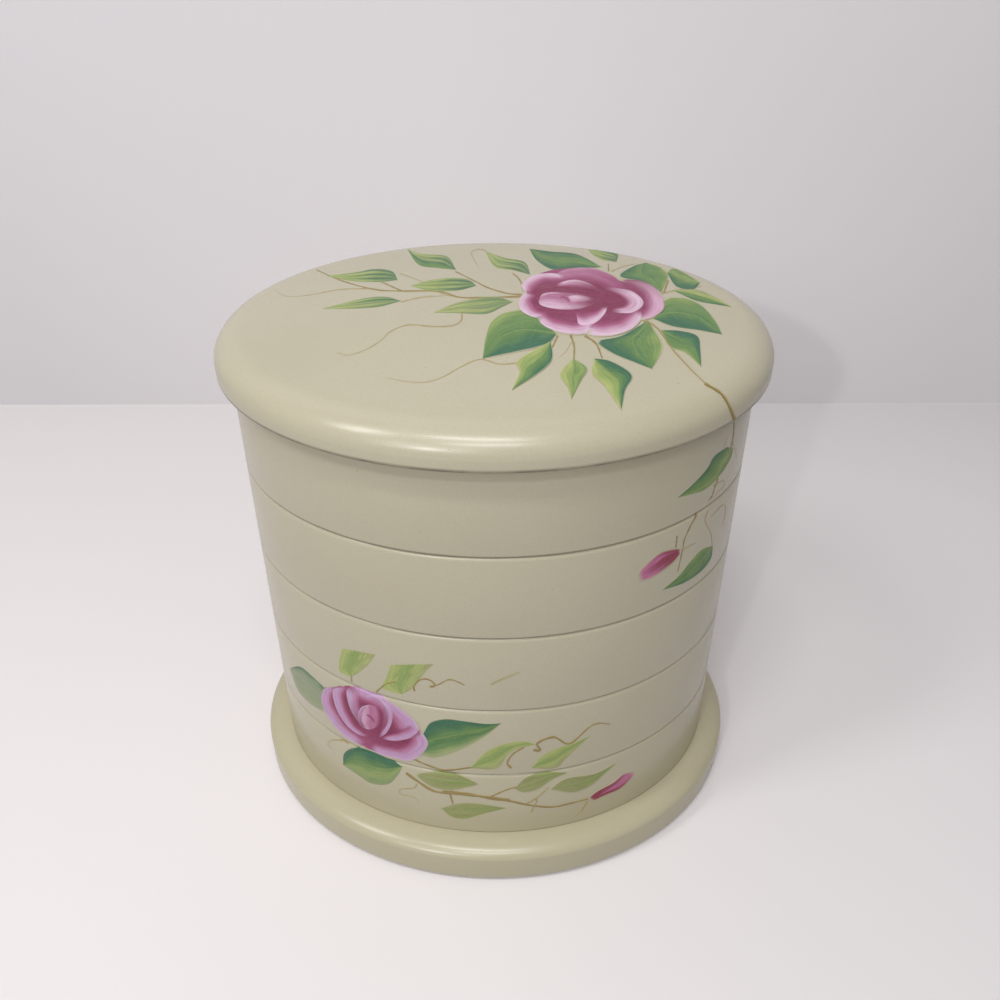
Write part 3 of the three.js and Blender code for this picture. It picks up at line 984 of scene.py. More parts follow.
@dataclass
class Base:
    """Base board with its felt, its screws and the rod's fastening."""

    round_width: float = 8 * MM
    round_height: float = 3.8 * MM
    arris: float = 1.8 * MM
    well: float = 9 * MM
    felt_round: float = 0.3 * MM
    steps: int = 384

    def board(self) -> Piece:
        """Board lofted from the lower arris to the end of the upper round, with the nut's well."""
        low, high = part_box("base_board")
        overhang = (high.x - low.x) / 2 - OVAL.half_length
        foot_inset, foot_rise = quarter(self.arris, self.arris, 8, True)
        edge_inset, edge_rise = quarter(self.round_width, self.round_height, 28, False)
        inset = np.concatenate([foot_inset, edge_inset]) - overhang
        level = np.concatenate([low.z + self.arris - foot_rise, high.z - self.round_height + edge_rise])
        piece = new_object("base_painted_board", *ring_body(OVAL.rings(inset, level, self.steps)))
        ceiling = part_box("plain_washer")[1].z
        well = upright("well_cut", self.well, low.z - OVERRUN, ceiling)
        way = upright("rod_cut", ROD_BORE, low.z - OVERRUN, high.z + OVERRUN)
        carve(piece, [well, way])
        return place(piece, "base", "paint_without_seam_shade", "painted_wood", ["base_board"])

    def felt(self) -> Piece:
        """Felt under the board, with its hole for the nut."""
        low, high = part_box("base_felt")
        inset = OVAL.half_length - (high.x - low.x) / 2
        rings = OVAL.rings([inset, inset], [low.z, high.z], self.steps)
        piece = new_object("base_felt_pad", *ring_body(rings))
        carve(piece, [upright("felt_cut", self.well, low.z - OVERRUN, high.z + OVERRUN)])
        soften(piece, self.felt_round)
        place(piece, "base", "felt", "felt", ["base_felt"])
        return cut_flat(piece)

    def build(self) -> None:
        """Make the base's pieces."""
        self.board()
        self.felt()
        Rod().build()
        for node, width in (("rod_nut", 0.4), ("plain_washer", 0.15), ("spring_washer", 0.15)):
            piece = rounded_copy(f"{node}_zinc", node, width * MM, 2)
            place(piece, "base", "steel", "steel", [node])
        for i in range(1, 5):
            Screw(f"base_screw_{i}", "base", "steel").build()


@dataclass(frozen=True)
class PhotoView:
    """Camera of the photograph: place in metres, angles in radians, focal length in its pixels."""

    place: tuple = (0.9 * MM, -264.2 * MM, 290.5 * MM)
    pitch: float = 0.6123
    yaw: float = 0.003
    focal: float = 969.0
    size: float = 1000.0
    sensor: float = 36.0

    def axes(self) -> tuple[Array, Array, Array]:
        """Unit vectors to the front, to the right and up in the picture."""
        cos, sin = np.cos(self.pitch), np.sin(self.pitch)
        front = np.array([np.sin(self.yaw) * cos, np.cos(self.yaw) * cos, -sin])
        right = np.array([np.cos(self.yaw), -np.sin(self.yaw), 0.0])
        return front, right, np.cross(right, front)

    def rays(self, pixels: Array) -> Array:
        """Directions through pixels of the photograph, shape (..., 3)."""
        front, right, up = self.axes()
        across = (pixels[..., :1] - self.size / 2) / self.focal
        down = (pixels[..., 1:] - self.size / 2) / self.focal
        return front + across * right - down * up

    def camera(self) -> None:
        """Make the scene's camera."""
        data = bpy.data.cameras.new("photo_camera")
        data.sensor_width = self.sensor
        data.lens = self.focal / self.size * self.sensor
        data.clip_start, data.clip_end = 0.01, 20
        camera = link("photo_camera", data)
        front, right, up = self.axes()
        turn = Matrix((right, up, -front)).transposed().to_4x4()
        camera.matrix_world = Matrix.Translation(Vector(self.place)) @ turn
        bpy.context.scene.camera = camera


class Tint(Enum):
    """Colours on the decorator's palette, on the usual scale of 0 to 255."""

    LEAF_DARK = (60, 110, 84)
    LEAF_DEEP = (84, 126, 80)
    LEAF_MID = (108, 142, 84)
    LEAF_LIGHT = (146, 166, 98)
    LEAF_PALE = (172, 183, 114)
    LEAF_GREY = (124, 146, 112)
    OLIVE = (146, 152, 92)
    LEAF_VEIN = (128, 156, 94)
    ROSE_PALE = (228, 196, 218)
    ROSE_LIGHT = (214, 170, 196)
    ROSE_MID = (184, 116, 152)
    ROSE_DEEP = (158, 74, 116)
    PLUM = (132, 42, 82)
    LILAC_PALE = (214, 186, 216)
    LILAC = (198, 156, 196)
    VINE = (162, 140, 78)
    VINE_DARK = (134, 112, 56)
    CRIMSON = (146, 44, 68)
    BUD_PINK = (204, 116, 162)
    LEAF_SPRING = (134, 156, 80)

    @property
    def tone(self) -> Array:
        """The colour as linear red, green and blue."""
        return np.array(linear(self.value)[:3])


# height of each wave in the streaks of a brush, and how fast it runs across and along the stroke
STREAK_WAVES = ((0.05, 0, 5), (0.035, 3, 17), (0.03, 38, 0), (0.02, 71, 2))


@dataclass(frozen=True)
class Brush:
    """Load of a flat brush: names of tints, and covers, from its first side to its second."""

    colours: str
    cover: tuple = (1.0, 1.0)
    fade: float = 0.0
    streak: float = 1.0
    end: Tint | None = None
    start: Tint | None = None
    soft: tuple = (0.0, 0.0, 0.0, 0.0)

    def paint(self, along: Array, across: Array, random: np.random.Generator) -> Array:
        """Colour and cover at each point of a stroke.

        The colours are blended across the stroke, shifted by slow waves that run along it, and drawn
        to the start's and the end's tint there. The cover thins by fade towards the end, and over the
        soft shares of the stroke at its first side, second side, start and end.
        """
        tones = np.array([Tint[name.upper()].tone for name in self.colours.split()])
        phase = random.uniform(0, 2 * np.pi, 4)
        load = across
        for (size, u, v), turn in zip(STREAK_WAVES, phase):
            load = load + self.streak * size * np.sin(u * across + v * along + turn)
        load = np.clip(load, 0, 1)
        stops = np.linspace(0, 1, len(tones))
        colour = np.stack([np.interp(load, stops, tones[:, i]) for i in range(3)], axis=-1)
        wave = along + 0.12 * self.streak * np.sin(9 * across + phase[0])
        for tint, reach in ((self.end, (wave - 0.35) / 0.5), (self.start, (0.65 - wave) / 0.5)):
            if tint:
                share = 0.85 * np.clip(reach, 0, 1)[..., None]
                colour = colour * (1 - share) + tint.tone * share
        cover = np.interp(across, np.linspace(0, 1, len(self.cover)), self.cover)
        cover = cover * (1 - self.fade * along**2)
        for share, reach in zip(self.soft, (across, 1 - across, along, 1 - along)):
            if share:
                rise = np.clip(reach / share, 0, 1)
                cover = cover * rise * rise * (3 - 2 * rise)
        return np.concatenate([colour, cover[..., None]], axis=-1)


def knots_of(route: Route) -> Array:
    """Points of a route, which is given as text of the form x,y x,y or as points."""
    if isinstance(route, str):
        route = [pair.split(",") for pair in route.split()]
    return np.array(route, float)


def smooth_line(route: Route, count: int) -> Array:
    """Smooth curve along a route, evenly spaced, as a chain of cubic Catmull-Rom pieces."""
    knots = knots_of(route)
    if len(knots) == 2:
        return knots[0] + np.linspace(0, 1, count)[:, None] * (knots[1] - knots[0])
    ends = np.vstack([2 * knots[0] - knots[1], knots, 2 * knots[-1] - knots[-2]])
    t = np.linspace(0, 1, 24, endpoint=False)[:, None]
    pieces = []
    for p0, p1, p2, p3 in zip(ends, ends[1:], ends[2:], ends[3:]):
        cubic = 2 * p1 + (p2 - p0) * t + (2 * p0 - 5 * p1 + 4 * p2 - p3) * t**2
        pieces.append(0.5 * (cubic + (3 * p1 - p0 - 3 * p2 + p3) * t**3))
    line = np.vstack([*pieces, knots[-1:]])
    length = np.concatenate([[0], np.cumsum(np.hypot(*np.diff(line, axis=0).T))])
    even = np.linspace(0, length[-1], count)
    return np.stack([np.interp(even, length, line[:, i]) for i in range(2)], axis=-1)


@dataclass
class Stroke:
    """Brush stroke between two side lines, which are given in a drawing's own units."""

    first: Route
    second: Route
    brush: Brush
    along: int = 30
    across: int = 15

    def grid(self) -> Array:
        """Points of the ruled surface between the side lines, shape (along, across, 2)."""
        one = smooth_line(self.first, self.along)[:, None]
        two = smooth_line(self.second, self.along)[:, None]
        share = np.linspace(0, 1, self.across)[None, :, None]
        return one * (1 - share) + two * share


def vine(route: Route, start: float, end: float, brush: Brush) -> Stroke:
    """Liner stroke along a route, whose half width goes from start to end and wavers a little."""
    line = smooth_line(route, 4 * len(knots_of(route)) + 12)
    way = np.gradient(line, axis=0)
    side = np.stack([-way[:, 1], way[:, 0]], axis=-1) / np.hypot(*way.T)[:, None]
    waver = 1 + 0.18 * np.sin(np.arange(len(line)) * 0.9)
    width = (np.linspace(start, end, len(line)) * waver)[:, None]
    return Stroke(line - side * width, line + side * width, brush, len(line) * 2, 4)


def leaf(first: Route, second: Route, one: Brush, two: Brush, rib: float = 3.0) -> list[Stroke]:
    """Leaf of two brush loads that meet at its rib, with the rib and its side veins over them.

    Args:
        first: one side, from the leaf's tip to its stem.
        second: the other side, from the tip to the stem.
        one: load between the first side and the rib.
        two: load between the rib and the second side.
        rib: half width of the rib at the stem, in the drawing's units; none where it is 0.

    Returns:
        The strokes from the lowest up.
    """
    count = 30
    sides = [smooth_line(side, count) for side in (first, second)]
    middle = (sides[0] + sides[1]) / 2
    blades = [Stroke(sides[0], middle, one), Stroke(middle, sides[1], two)]
    if not rib:
        return blades
    veins = []
    for share in (0.34, 0.52, 0.7):
        at, tip = int(share * count), int((share - 0.16) * count)
        for side in sides:
            end = middle[at] + 0.72 * (side[tip] - middle[at])
            bow = (middle[at] + end) / 2 + 0.08 * (middle[tip] - middle[at])
            veins.append(vine([middle[at], bow, end], rib * 0.4, rib * 0.12, VEIN))
    return [*blades, *veins, vine([middle[-1], *middle[-6:2:-7], middle[2]], rib * 0.7, rib * 0.2, RIB)]


@dataclass
class Drawing:
    """Strokes in the order of painting, on a sheet that lies over part of the photograph."""

    carrier: Carrier
    corner: tuple
    unit: float
    strokes: list = field(default_factory=list)

    def pixels(self, grid: Array) -> Array:
        """Drawing units to pixels of the photograph."""
        return np.array(self.corner) + grid / self.unit


@dataclass
class Bed:
    """Paint laid so far on the lid or the walls, in pixels of the photograph, as coloured triangles."""

    layers: list = field(default_factory=list)

    def under(self, grid: Array) -> Array:
        """Colour and cover of the uppermost paint at points; cover 0 where there is none."""
        points = grid.reshape(-1, 2)
        found = np.zeros((len(points), 4))
        for corners, paint in self.layers:
            inside_box = (points >= corners.min((0, 1))) & (points <= corners.max((0, 1)))
            near = np.flatnonzero(inside_box.all(1))
            one, two = corners[:, 1] - corners[:, 0], corners[:, 2] - corners[:, 0]
            gap = points[near][:, None] - corners[None, :, 0]
            whole = one[:, 0] * two[:, 1] - one[:, 1] * two[:, 0]
            whole = np.where(np.abs(whole) < 1e-9, np.inf, whole)
            u = (gap[..., 0] * two[:, 1] - gap[..., 1] * two[:, 0]) / whole
            v = (one[:, 0] * gap[..., 1] - one[:, 1] * gap[..., 0]) / whole
            inside = (u >= -1e-6) & (v >= -1e-6) & (u + v <= 1 + 1e-6) & np.isfinite(whole)
            hit = np.flatnonzero(inside.any(1)) if len(near) else near
            face = inside[hit].argmax(1) if len(hit) else hit
            u, v = u[hit, face][:, None], v[hit, face][:, None]
            found[near[hit]] = paint[face, 0] * (1 - u - v) + paint[face, 1] * u + paint[face, 2] * v
        return found.reshape(grid.shape[:-1] + (4,))

    def lay(self, grid: Array, paint: Array) -> Array:
        """Lay a stroke over what is there.

        Args:
            grid: the stroke's points.
            paint: its colour and cover at each.

        Returns:
            Colour and cover of the stroke together with the paint that shows through it.
        """
        below = self.under(grid)
        own, left = paint[..., 3:], below[..., 3:] * (1 - paint[..., 3:])
        cover = own + left
        colour = (paint[..., :3] * own + below[..., :3] * left) / np.maximum(cover, 1e-6)
        mixed = np.concatenate([np.where(cover > 1e-6, colour, paint[..., :3]), cover], axis=-1)
        quads = grid_faces(grid.shape[0], grid.shape[1], False)
        triangles = np.vstack([quads[:, [0, 1, 2]], quads[:, [0, 2, 3]]])
        self.layers.append((grid.reshape(-1, 2)[triangles], mixed.reshape(-1, 4)[triangles]))
        return mixed


@dataclass
class Painter:
    """Lays drawings on the lid and on the walls, as seen from the photograph's camera."""

    view: PhotoView
    lid: Lid
    random: np.random.Generator = field(default_factory=lambda: np.random.default_rng(7))
    film: float = 0.012 * MM
    layer: float = 0.003 * MM
    sink: float = 0.03 * MM
    lid_middle: tuple = (495.0, 335.0)

    def lid_hit(self, pixels: Array) -> tuple[Array, Array]:
        """Where rays meet the lid, and the lid's normals there.

        A ray is followed down in short steps to the first point inside the lid, and the step is
        then halved. A ray that misses is drawn towards the lid's middle and tried again.
        """
        aim = pixels.copy()
        start = np.array(self.view.place)
        point = np.zeros(aim.shape[:-1] + (3,))
        missing = np.ones(aim.shape[:-1], bool)
        for _ in range(40):
            way = self.view.rays(aim[missing])
            near = (start[2] - self.lid.high - 0.5 * MM) / -way[:, 2]
            far = (start[2] - self.lid.low) / -way[:, 2]
            steps = near[:, None] + (far - near)[:, None] * np.linspace(0, 1, 90)[None]
            trial = start + way[:, None] * steps[..., None]
            inside = self.inside_lid(trial)
            hit = inside.any(1)
            first = inside.argmax(1)
            ray = np.arange(len(first))
            high = steps[ray, first]
            low = steps[ray, np.maximum(first - 1, 0)]
            for _ in range(16):
                half = (low + high) / 2
                deep = self.inside_lid(start + way * half[:, None])
                high, low = np.where(deep, half, high), np.where(deep, low, half)
            index = np.argwhere(missing)
            for_hit = tuple(index[hit].T)
            point[for_hit] = (start + way * high[:, None])[hit]
            missing[for_hit] = False
            if not missing.any():
                break
            aim[missing] += (np.array(self.lid_middle) - aim[missing]) * 0.01
        angle, inset = OVAL.locate(point[..., :2])
        return point, self.lid_normal(point, angle, inset + self.lid.overhang)

    def inside_lid(self, point: Array) -> Array:
        """Whether points are inside the lid's outline and under its upper face."""
        _, inset = OVAL.locate(point[..., :2])
        edge = inset + self.lid.overhang
        under = point[..., 2] < self.lid.height(point[..., :2], np.maximum(edge, 0))
        return (edge > 0) & under & (point[..., 2] > self.lid.low)

    def lid_normal(self, point: Array, angle: Array, edge: Array) -> Array:
        """Normals of the lid: those of the dome, turned outwards over the rounded edge."""
        reach = np.clip(1 - edge / self.lid.round_width, 0, 1)
        centre = self.lid.shoulder - self.lid.round_height
        rise = np.clip((point[..., 2] - centre) / self.lid.round_height, 0, 1)
        out = OVAL.normal(angle) * (reach / self.lid.round_width)[..., None]
        up = rise / self.lid.round_height
        dome = 2 * self.lid.dome * point[..., :2] / np.array([OVAL.half_length, OVAL.half_depth]) ** 2
        normal = np.concatenate([out + dome * up[..., None], np.maximum(up, 1e-9)[..., None]], axis=-1)
        return normal / np.linalg.norm(normal, axis=-1, keepdims=True)

    def wall_hit(self, pixels: Array) -> tuple[Array, Array]:
        """Where rays meet the upright wall of the trays, and its normals there."""
        start = np.array(self.view.place)
        way = self.view.rays(pixels)
        scale = np.array([OVAL.half_length, OVAL.half_depth])
        s, w = start[:2] / scale, way[..., :2] / scale
        a, b, c = (w * w).sum(-1), (w * s).sum(-1), (s * s).sum() - 1
        root = np.sqrt(np.maximum(b * b - a * c, 0))
        point = start + way * ((-b - root) / a)[..., None]
        angle = np.arctan2(point[..., 1] / scale[1], point[..., 0] / scale[0])
        flat = OVAL.normal(angle)
        return point, np.concatenate([flat, np.zeros(flat.shape[:-1] + (1,))], axis=-1)

    def film_of(self, drawing: Drawing, stroke: Stroke, order: int, bed: Bed) -> tuple[Array, ...]:
        """Closed film of paint of one stroke: a crowned upper skin over a lower one.

        Args:
            drawing: the sheet that holds the stroke.
            stroke: the stroke.
            order: its place in the order of painting, which lifts it over the earlier ones.
            bed: the paint laid before it.

        Returns:
            Points, faces, colours, and places along and across the stroke in millimetres.
        """
        grid = drawing.pixels(stroke.grid())
        hit = self.lid_hit if drawing.carrier is Carrier.LID else self.wall_hit
        point, normal = hit(grid)
        rows, columns = grid.shape[:2]
        across = np.linspace(0, 1, columns)[None, :] + np.zeros((rows, 1))
        along = np.linspace(0, 1, rows)[:, None] + np.zeros((1, columns))
        crown = 1 - (2 * across - 1) ** 4
        swell = np.sqrt(np.sin(np.pi * np.clip(along, 0.02, 0.98)))
        lift = self.layer * (order + 2) + self.film * crown * swell
        length = np.linalg.norm(np.diff(point, axis=0), axis=-1).sum(0).mean() / MM
        width = np.linalg.norm(np.diff(point, axis=1), axis=-1).sum(1).max() / MM
        run = np.stack([along * length, across * width, np.full(along.shape, 7.3 * order)], axis=-1)
        top = point + normal * lift[..., None]
        under = point - normal * self.sink
        skin = np.concatenate([top, under[:, ::-1]], axis=1)
        faces = [grid_faces(rows, 2 * columns, True)]
        cap = np.arange(columns - 1)
        for base, flip in ((0, 1), ((rows - 1) * 2 * columns, -1)):
            last = base + 2 * columns - 1 - cap
            faces.append(np.stack([base + cap, base + cap + 1, last - 1, last][::flip], axis=-1))
        paint = bed.lay(grid, stroke.brush.paint(along, across, self.random))
        colour = np.concatenate([paint, paint[:, ::-1]], axis=1)
        place_on = np.concatenate([run, run[:, ::-1]], axis=1)
        return skin.reshape(-1, 3), np.vstack(faces), colour.reshape(-1, 4), place_on.reshape(-1, 3)

    def lay(self, drawings: Sequence[Drawing]) -> None:
        """Paint all drawings: one piece on the lid, and one on each tray that a stroke crosses."""
        for carrier in Carrier:
            films, count, bed = [], 0, Bed()
            for drawing in drawings:
                for order, stroke in enumerate(drawing.strokes if drawing.carrier is carrier else ()):
                    points, quads, colour, run = self.film_of(drawing, stroke, order, bed)
                    films.append((points, quads + count, colour, run))
                    count += len(points)
            mesh = self.mesh_of(f"{carrier.value}_paint", *(np.vstack(part) for part in zip(*films)))
            if carrier is Carrier.LID:
                self.finish(mesh, "lid_rose_painting", "lid")
            else:
                for number in TRAY_NUMBERS:
                    self.cut_tray(mesh, Tray(number))

    def mesh_of(self, name: str, points: Array, faces: Array, colours: Array, run: Array) -> Mesh:
        """Mesh with the strokes' colours and places on its points."""
        mesh = bpy.data.meshes.new(name)
        mesh.from_pydata(points.tolist(), [], faces.tolist())
        layer = mesh.color_attributes.new(STROKE_COLOUR, "FLOAT_COLOR", "POINT")
        layer.data.foreach_set("color", colours.astype(np.float32).ravel())
        places = mesh.attributes.new(STROKE_PLACE, "FLOAT_VECTOR", "POINT")
        places.data.foreach_set("vector", run.astype(np.float32).ravel())
        return mesh

    def cut_tray(self, mesh: Mesh, tray: Tray) -> None:
        """Keep the part of the walls' painting that lies on one tray, and close its cut edges."""
        bm = bmesh.new()
        bm.from_mesh(mesh)
        for edge, radius, sign in ((tray.high, tray.rim_round, 1), (tray.low, tray.foot_round, -1)):
            for turn in np.linspace(0.9, 0.0, 6) * np.pi / 2:
                level = edge - sign * radius * (1 - np.sin(turn))
                geometry = bm.verts[:] + bm.edges[:] + bm.faces[:]
                cut = {"plane_co": (0, 0, level), "plane_no": (0, 0, sign), "dist": 1e-8}
                bmesh.ops.bisect_plane(bm, geom=geometry, clear_outer=turn > 1.4, **cut)
        bmesh.ops.holes_fill(bm, edges=[e for e in bm.edges if e.is_boundary], sides=0)
        place_of = np.array([vert.co for vert in bm.verts]).reshape(-1, 3)
        angle = np.arctan2(place_of[:, 1] / OVAL.half_depth, place_of[:, 0] / OVAL.half_length)
        place_of[:, :2] -= OVAL.normal(angle) * tray.arris_inset(place_of[:, 2])[:, None]
        for vert, point in zip(bm.verts, place_of):
            vert.co = point
        empty = not bm.faces
        part = bpy.data.meshes.new(f"{tray.name}_paint")
        bm.to_mesh(part)
        bm.free()
        if not empty:
            self.finish(part, f"{tray.name}_rose_painting", tray.body)

    def finish(self, mesh: Mesh, name: str, body: str) -> None:
        """Turn a painted mesh into a piece."""
        with editing(mesh) as bm:
            bmesh.ops.recalc_face_normals(bm, faces=bm.faces)
        smooth(mesh, 1.0)
        place(link(name, mesh), body, "brush", "painted_wood")


DARK_EDGE = Brush("leaf_dark leaf_deep leaf_mid leaf_mid", streak=2.2, soft=(0.07, 0, 0, 0))
TEAL_EDGE = Brush("leaf_dark leaf_dark leaf_deep leaf_mid", streak=2.2, soft=(0.07, 0, 0, 0))
SOFT_EDGE = Brush("leaf_light leaf_mid leaf_mid leaf_deep", streak=2.4, soft=(0.07, 0, 0, 0))
PALE_EDGE = Brush("leaf_pale leaf_pale leaf_light leaf_light", streak=2.4, soft=(0.07, 0, 0, 0))
FROM_RIB_DARK = Brush("leaf_mid leaf_mid leaf_deep leaf_dark", streak=2.2, soft=(0, 0.07, 0, 0))
FROM_RIB_TEAL = Brush("leaf_mid leaf_deep leaf_dark leaf_dark", streak=2.2, soft=(0, 0.07, 0, 0))
FROM_RIB_THIN = Brush("leaf_mid leaf_deep leaf_mid leaf_light", (1, 1, 0.9, 0.5), streak=2.0)
FROM_RIB_SOFT = Brush("leaf_mid leaf_light leaf_mid", streak=2.4, soft=(0, 0.07, 0, 0))
FROM_RIB_PALE = Brush("leaf_light leaf_pale olive", (1.0, 0.95, 0.7), streak=2.4, soft=(0, 0.07, 0, 0))
SMALL = Brush("leaf_light leaf_pale leaf_light", (1.0, 1.0, 0.9), streak=2.4, end=Tint.LEAF_DARK)
SMALL_PALE = Brush("leaf_light leaf_pale olive", (0.85, 0.95, 0.7), streak=2.4, end=Tint.LEAF_DEEP)
PALE = Brush("leaf_spring olive leaf_spring", (0.9, 0.95, 0.75), 0.15, 1.6, Tint.OLIVE,
             soft=(0.16, 0, 0.05, 0.05))
FROM_RIB_FAINT = Brush("leaf_spring olive leaf_spring", (0.95, 0.9, 0.75), 0.15, 1.6, Tint.OLIVE,
                       soft=(0, 0.16, 0.05, 0.05))
LEAF_FAR = Brush("leaf_dark leaf_grey leaf_grey leaf_grey", (0.95, 0.85, 0.75, 0.6), streak=1.6)
VEIN = Brush("leaf_vein leaf_vein", (0.55, 0.55), 0.4)
RIB = Brush("leaf_light leaf_vein", (0.75, 0.75), 0.3)
RIM = (0.05, 0.4, 0.12, 0.12)
PETAL = Brush("rose_pale rose_pale rose_light rose_mid rose_deep plum plum", streak=0.7, soft=RIM)
PETAL_BACK = Brush("rose_light rose_mid rose_mid rose_deep plum", streak=0.7, end=Tint.ROSE_DEEP,
                   soft=RIM)
PETAL_SIDE = Brush("rose_light rose_light rose_light rose_mid rose_deep plum", streak=0.7,
                   start=Tint.PLUM, soft=(0.05, 0.4, 0.1, 0.12))
PETAL_PALE = Brush("rose_pale rose_pale rose_light rose_light rose_mid rose_deep", streak=0.7,
                   soft=(0.05, 0.5, 0.2, 0.45))
PETAL_THIN = Brush("rose_pale rose_light rose_mid rose_mid", streak=0.7, end=Tint.PLUM,
                   soft=(0.08, 0.6, 0.25, 0.3))
BOWL = Brush("rose_pale rose_light rose_mid rose_mid", streak=0.7, end=Tint.PLUM,
             soft=(0.08, 0.1, 0.05, 0.35))
BALL = Brush("lilac rose_light rose_mid rose_mid rose_deep", streak=0.5, soft=(0.15, 0.2, 0.08, 0.08))
HEART = Brush("rose_mid rose_deep plum", streak=0.7, soft=(0.15, 0.3, 0.2, 0.3))
FILL = Brush("rose_deep plum plum rose_deep", streak=1.0)
LILAC_PETAL = Brush("lilac_pale lilac lilac rose_mid rose_deep rose_deep", streak=0.5,
                    soft=(0.12, 0.4, 0.12, 0.2))
LILAC_WIDE = Brush("lilac_pale lilac lilac rose_mid rose_deep plum", streak=0.35,
                   soft=(0.08, 0.35, 0.1, 0.12))
LILAC_THIN = Brush("lilac_pale lilac rose_mid rose_deep", streak=0.7, end=Tint.PLUM,
                   soft=(0.08, 0.5, 0.2, 0.25))
LINER = Brush("vine vine_dark", (0.85, 0.9))
LINER_THIN = Brush("vine vine", (0.65, 0.7), 0.35)
BUD = Brush("crimson rose_deep crimson", (0.95, 1.0, 0.95), 0.1, 1.2, Tint.BUD_PINK, Tint.CRIMSON,
            (0.12, 0.12, 0.05, 0.14))
BUD_FOLD = Brush("rose_mid bud_pink rose_deep", streak=1.2, end=Tint.BUD_PINK, start=Tint.CRIMSON,
                 soft=(0.3, 0.3, 0.2, 0.4))


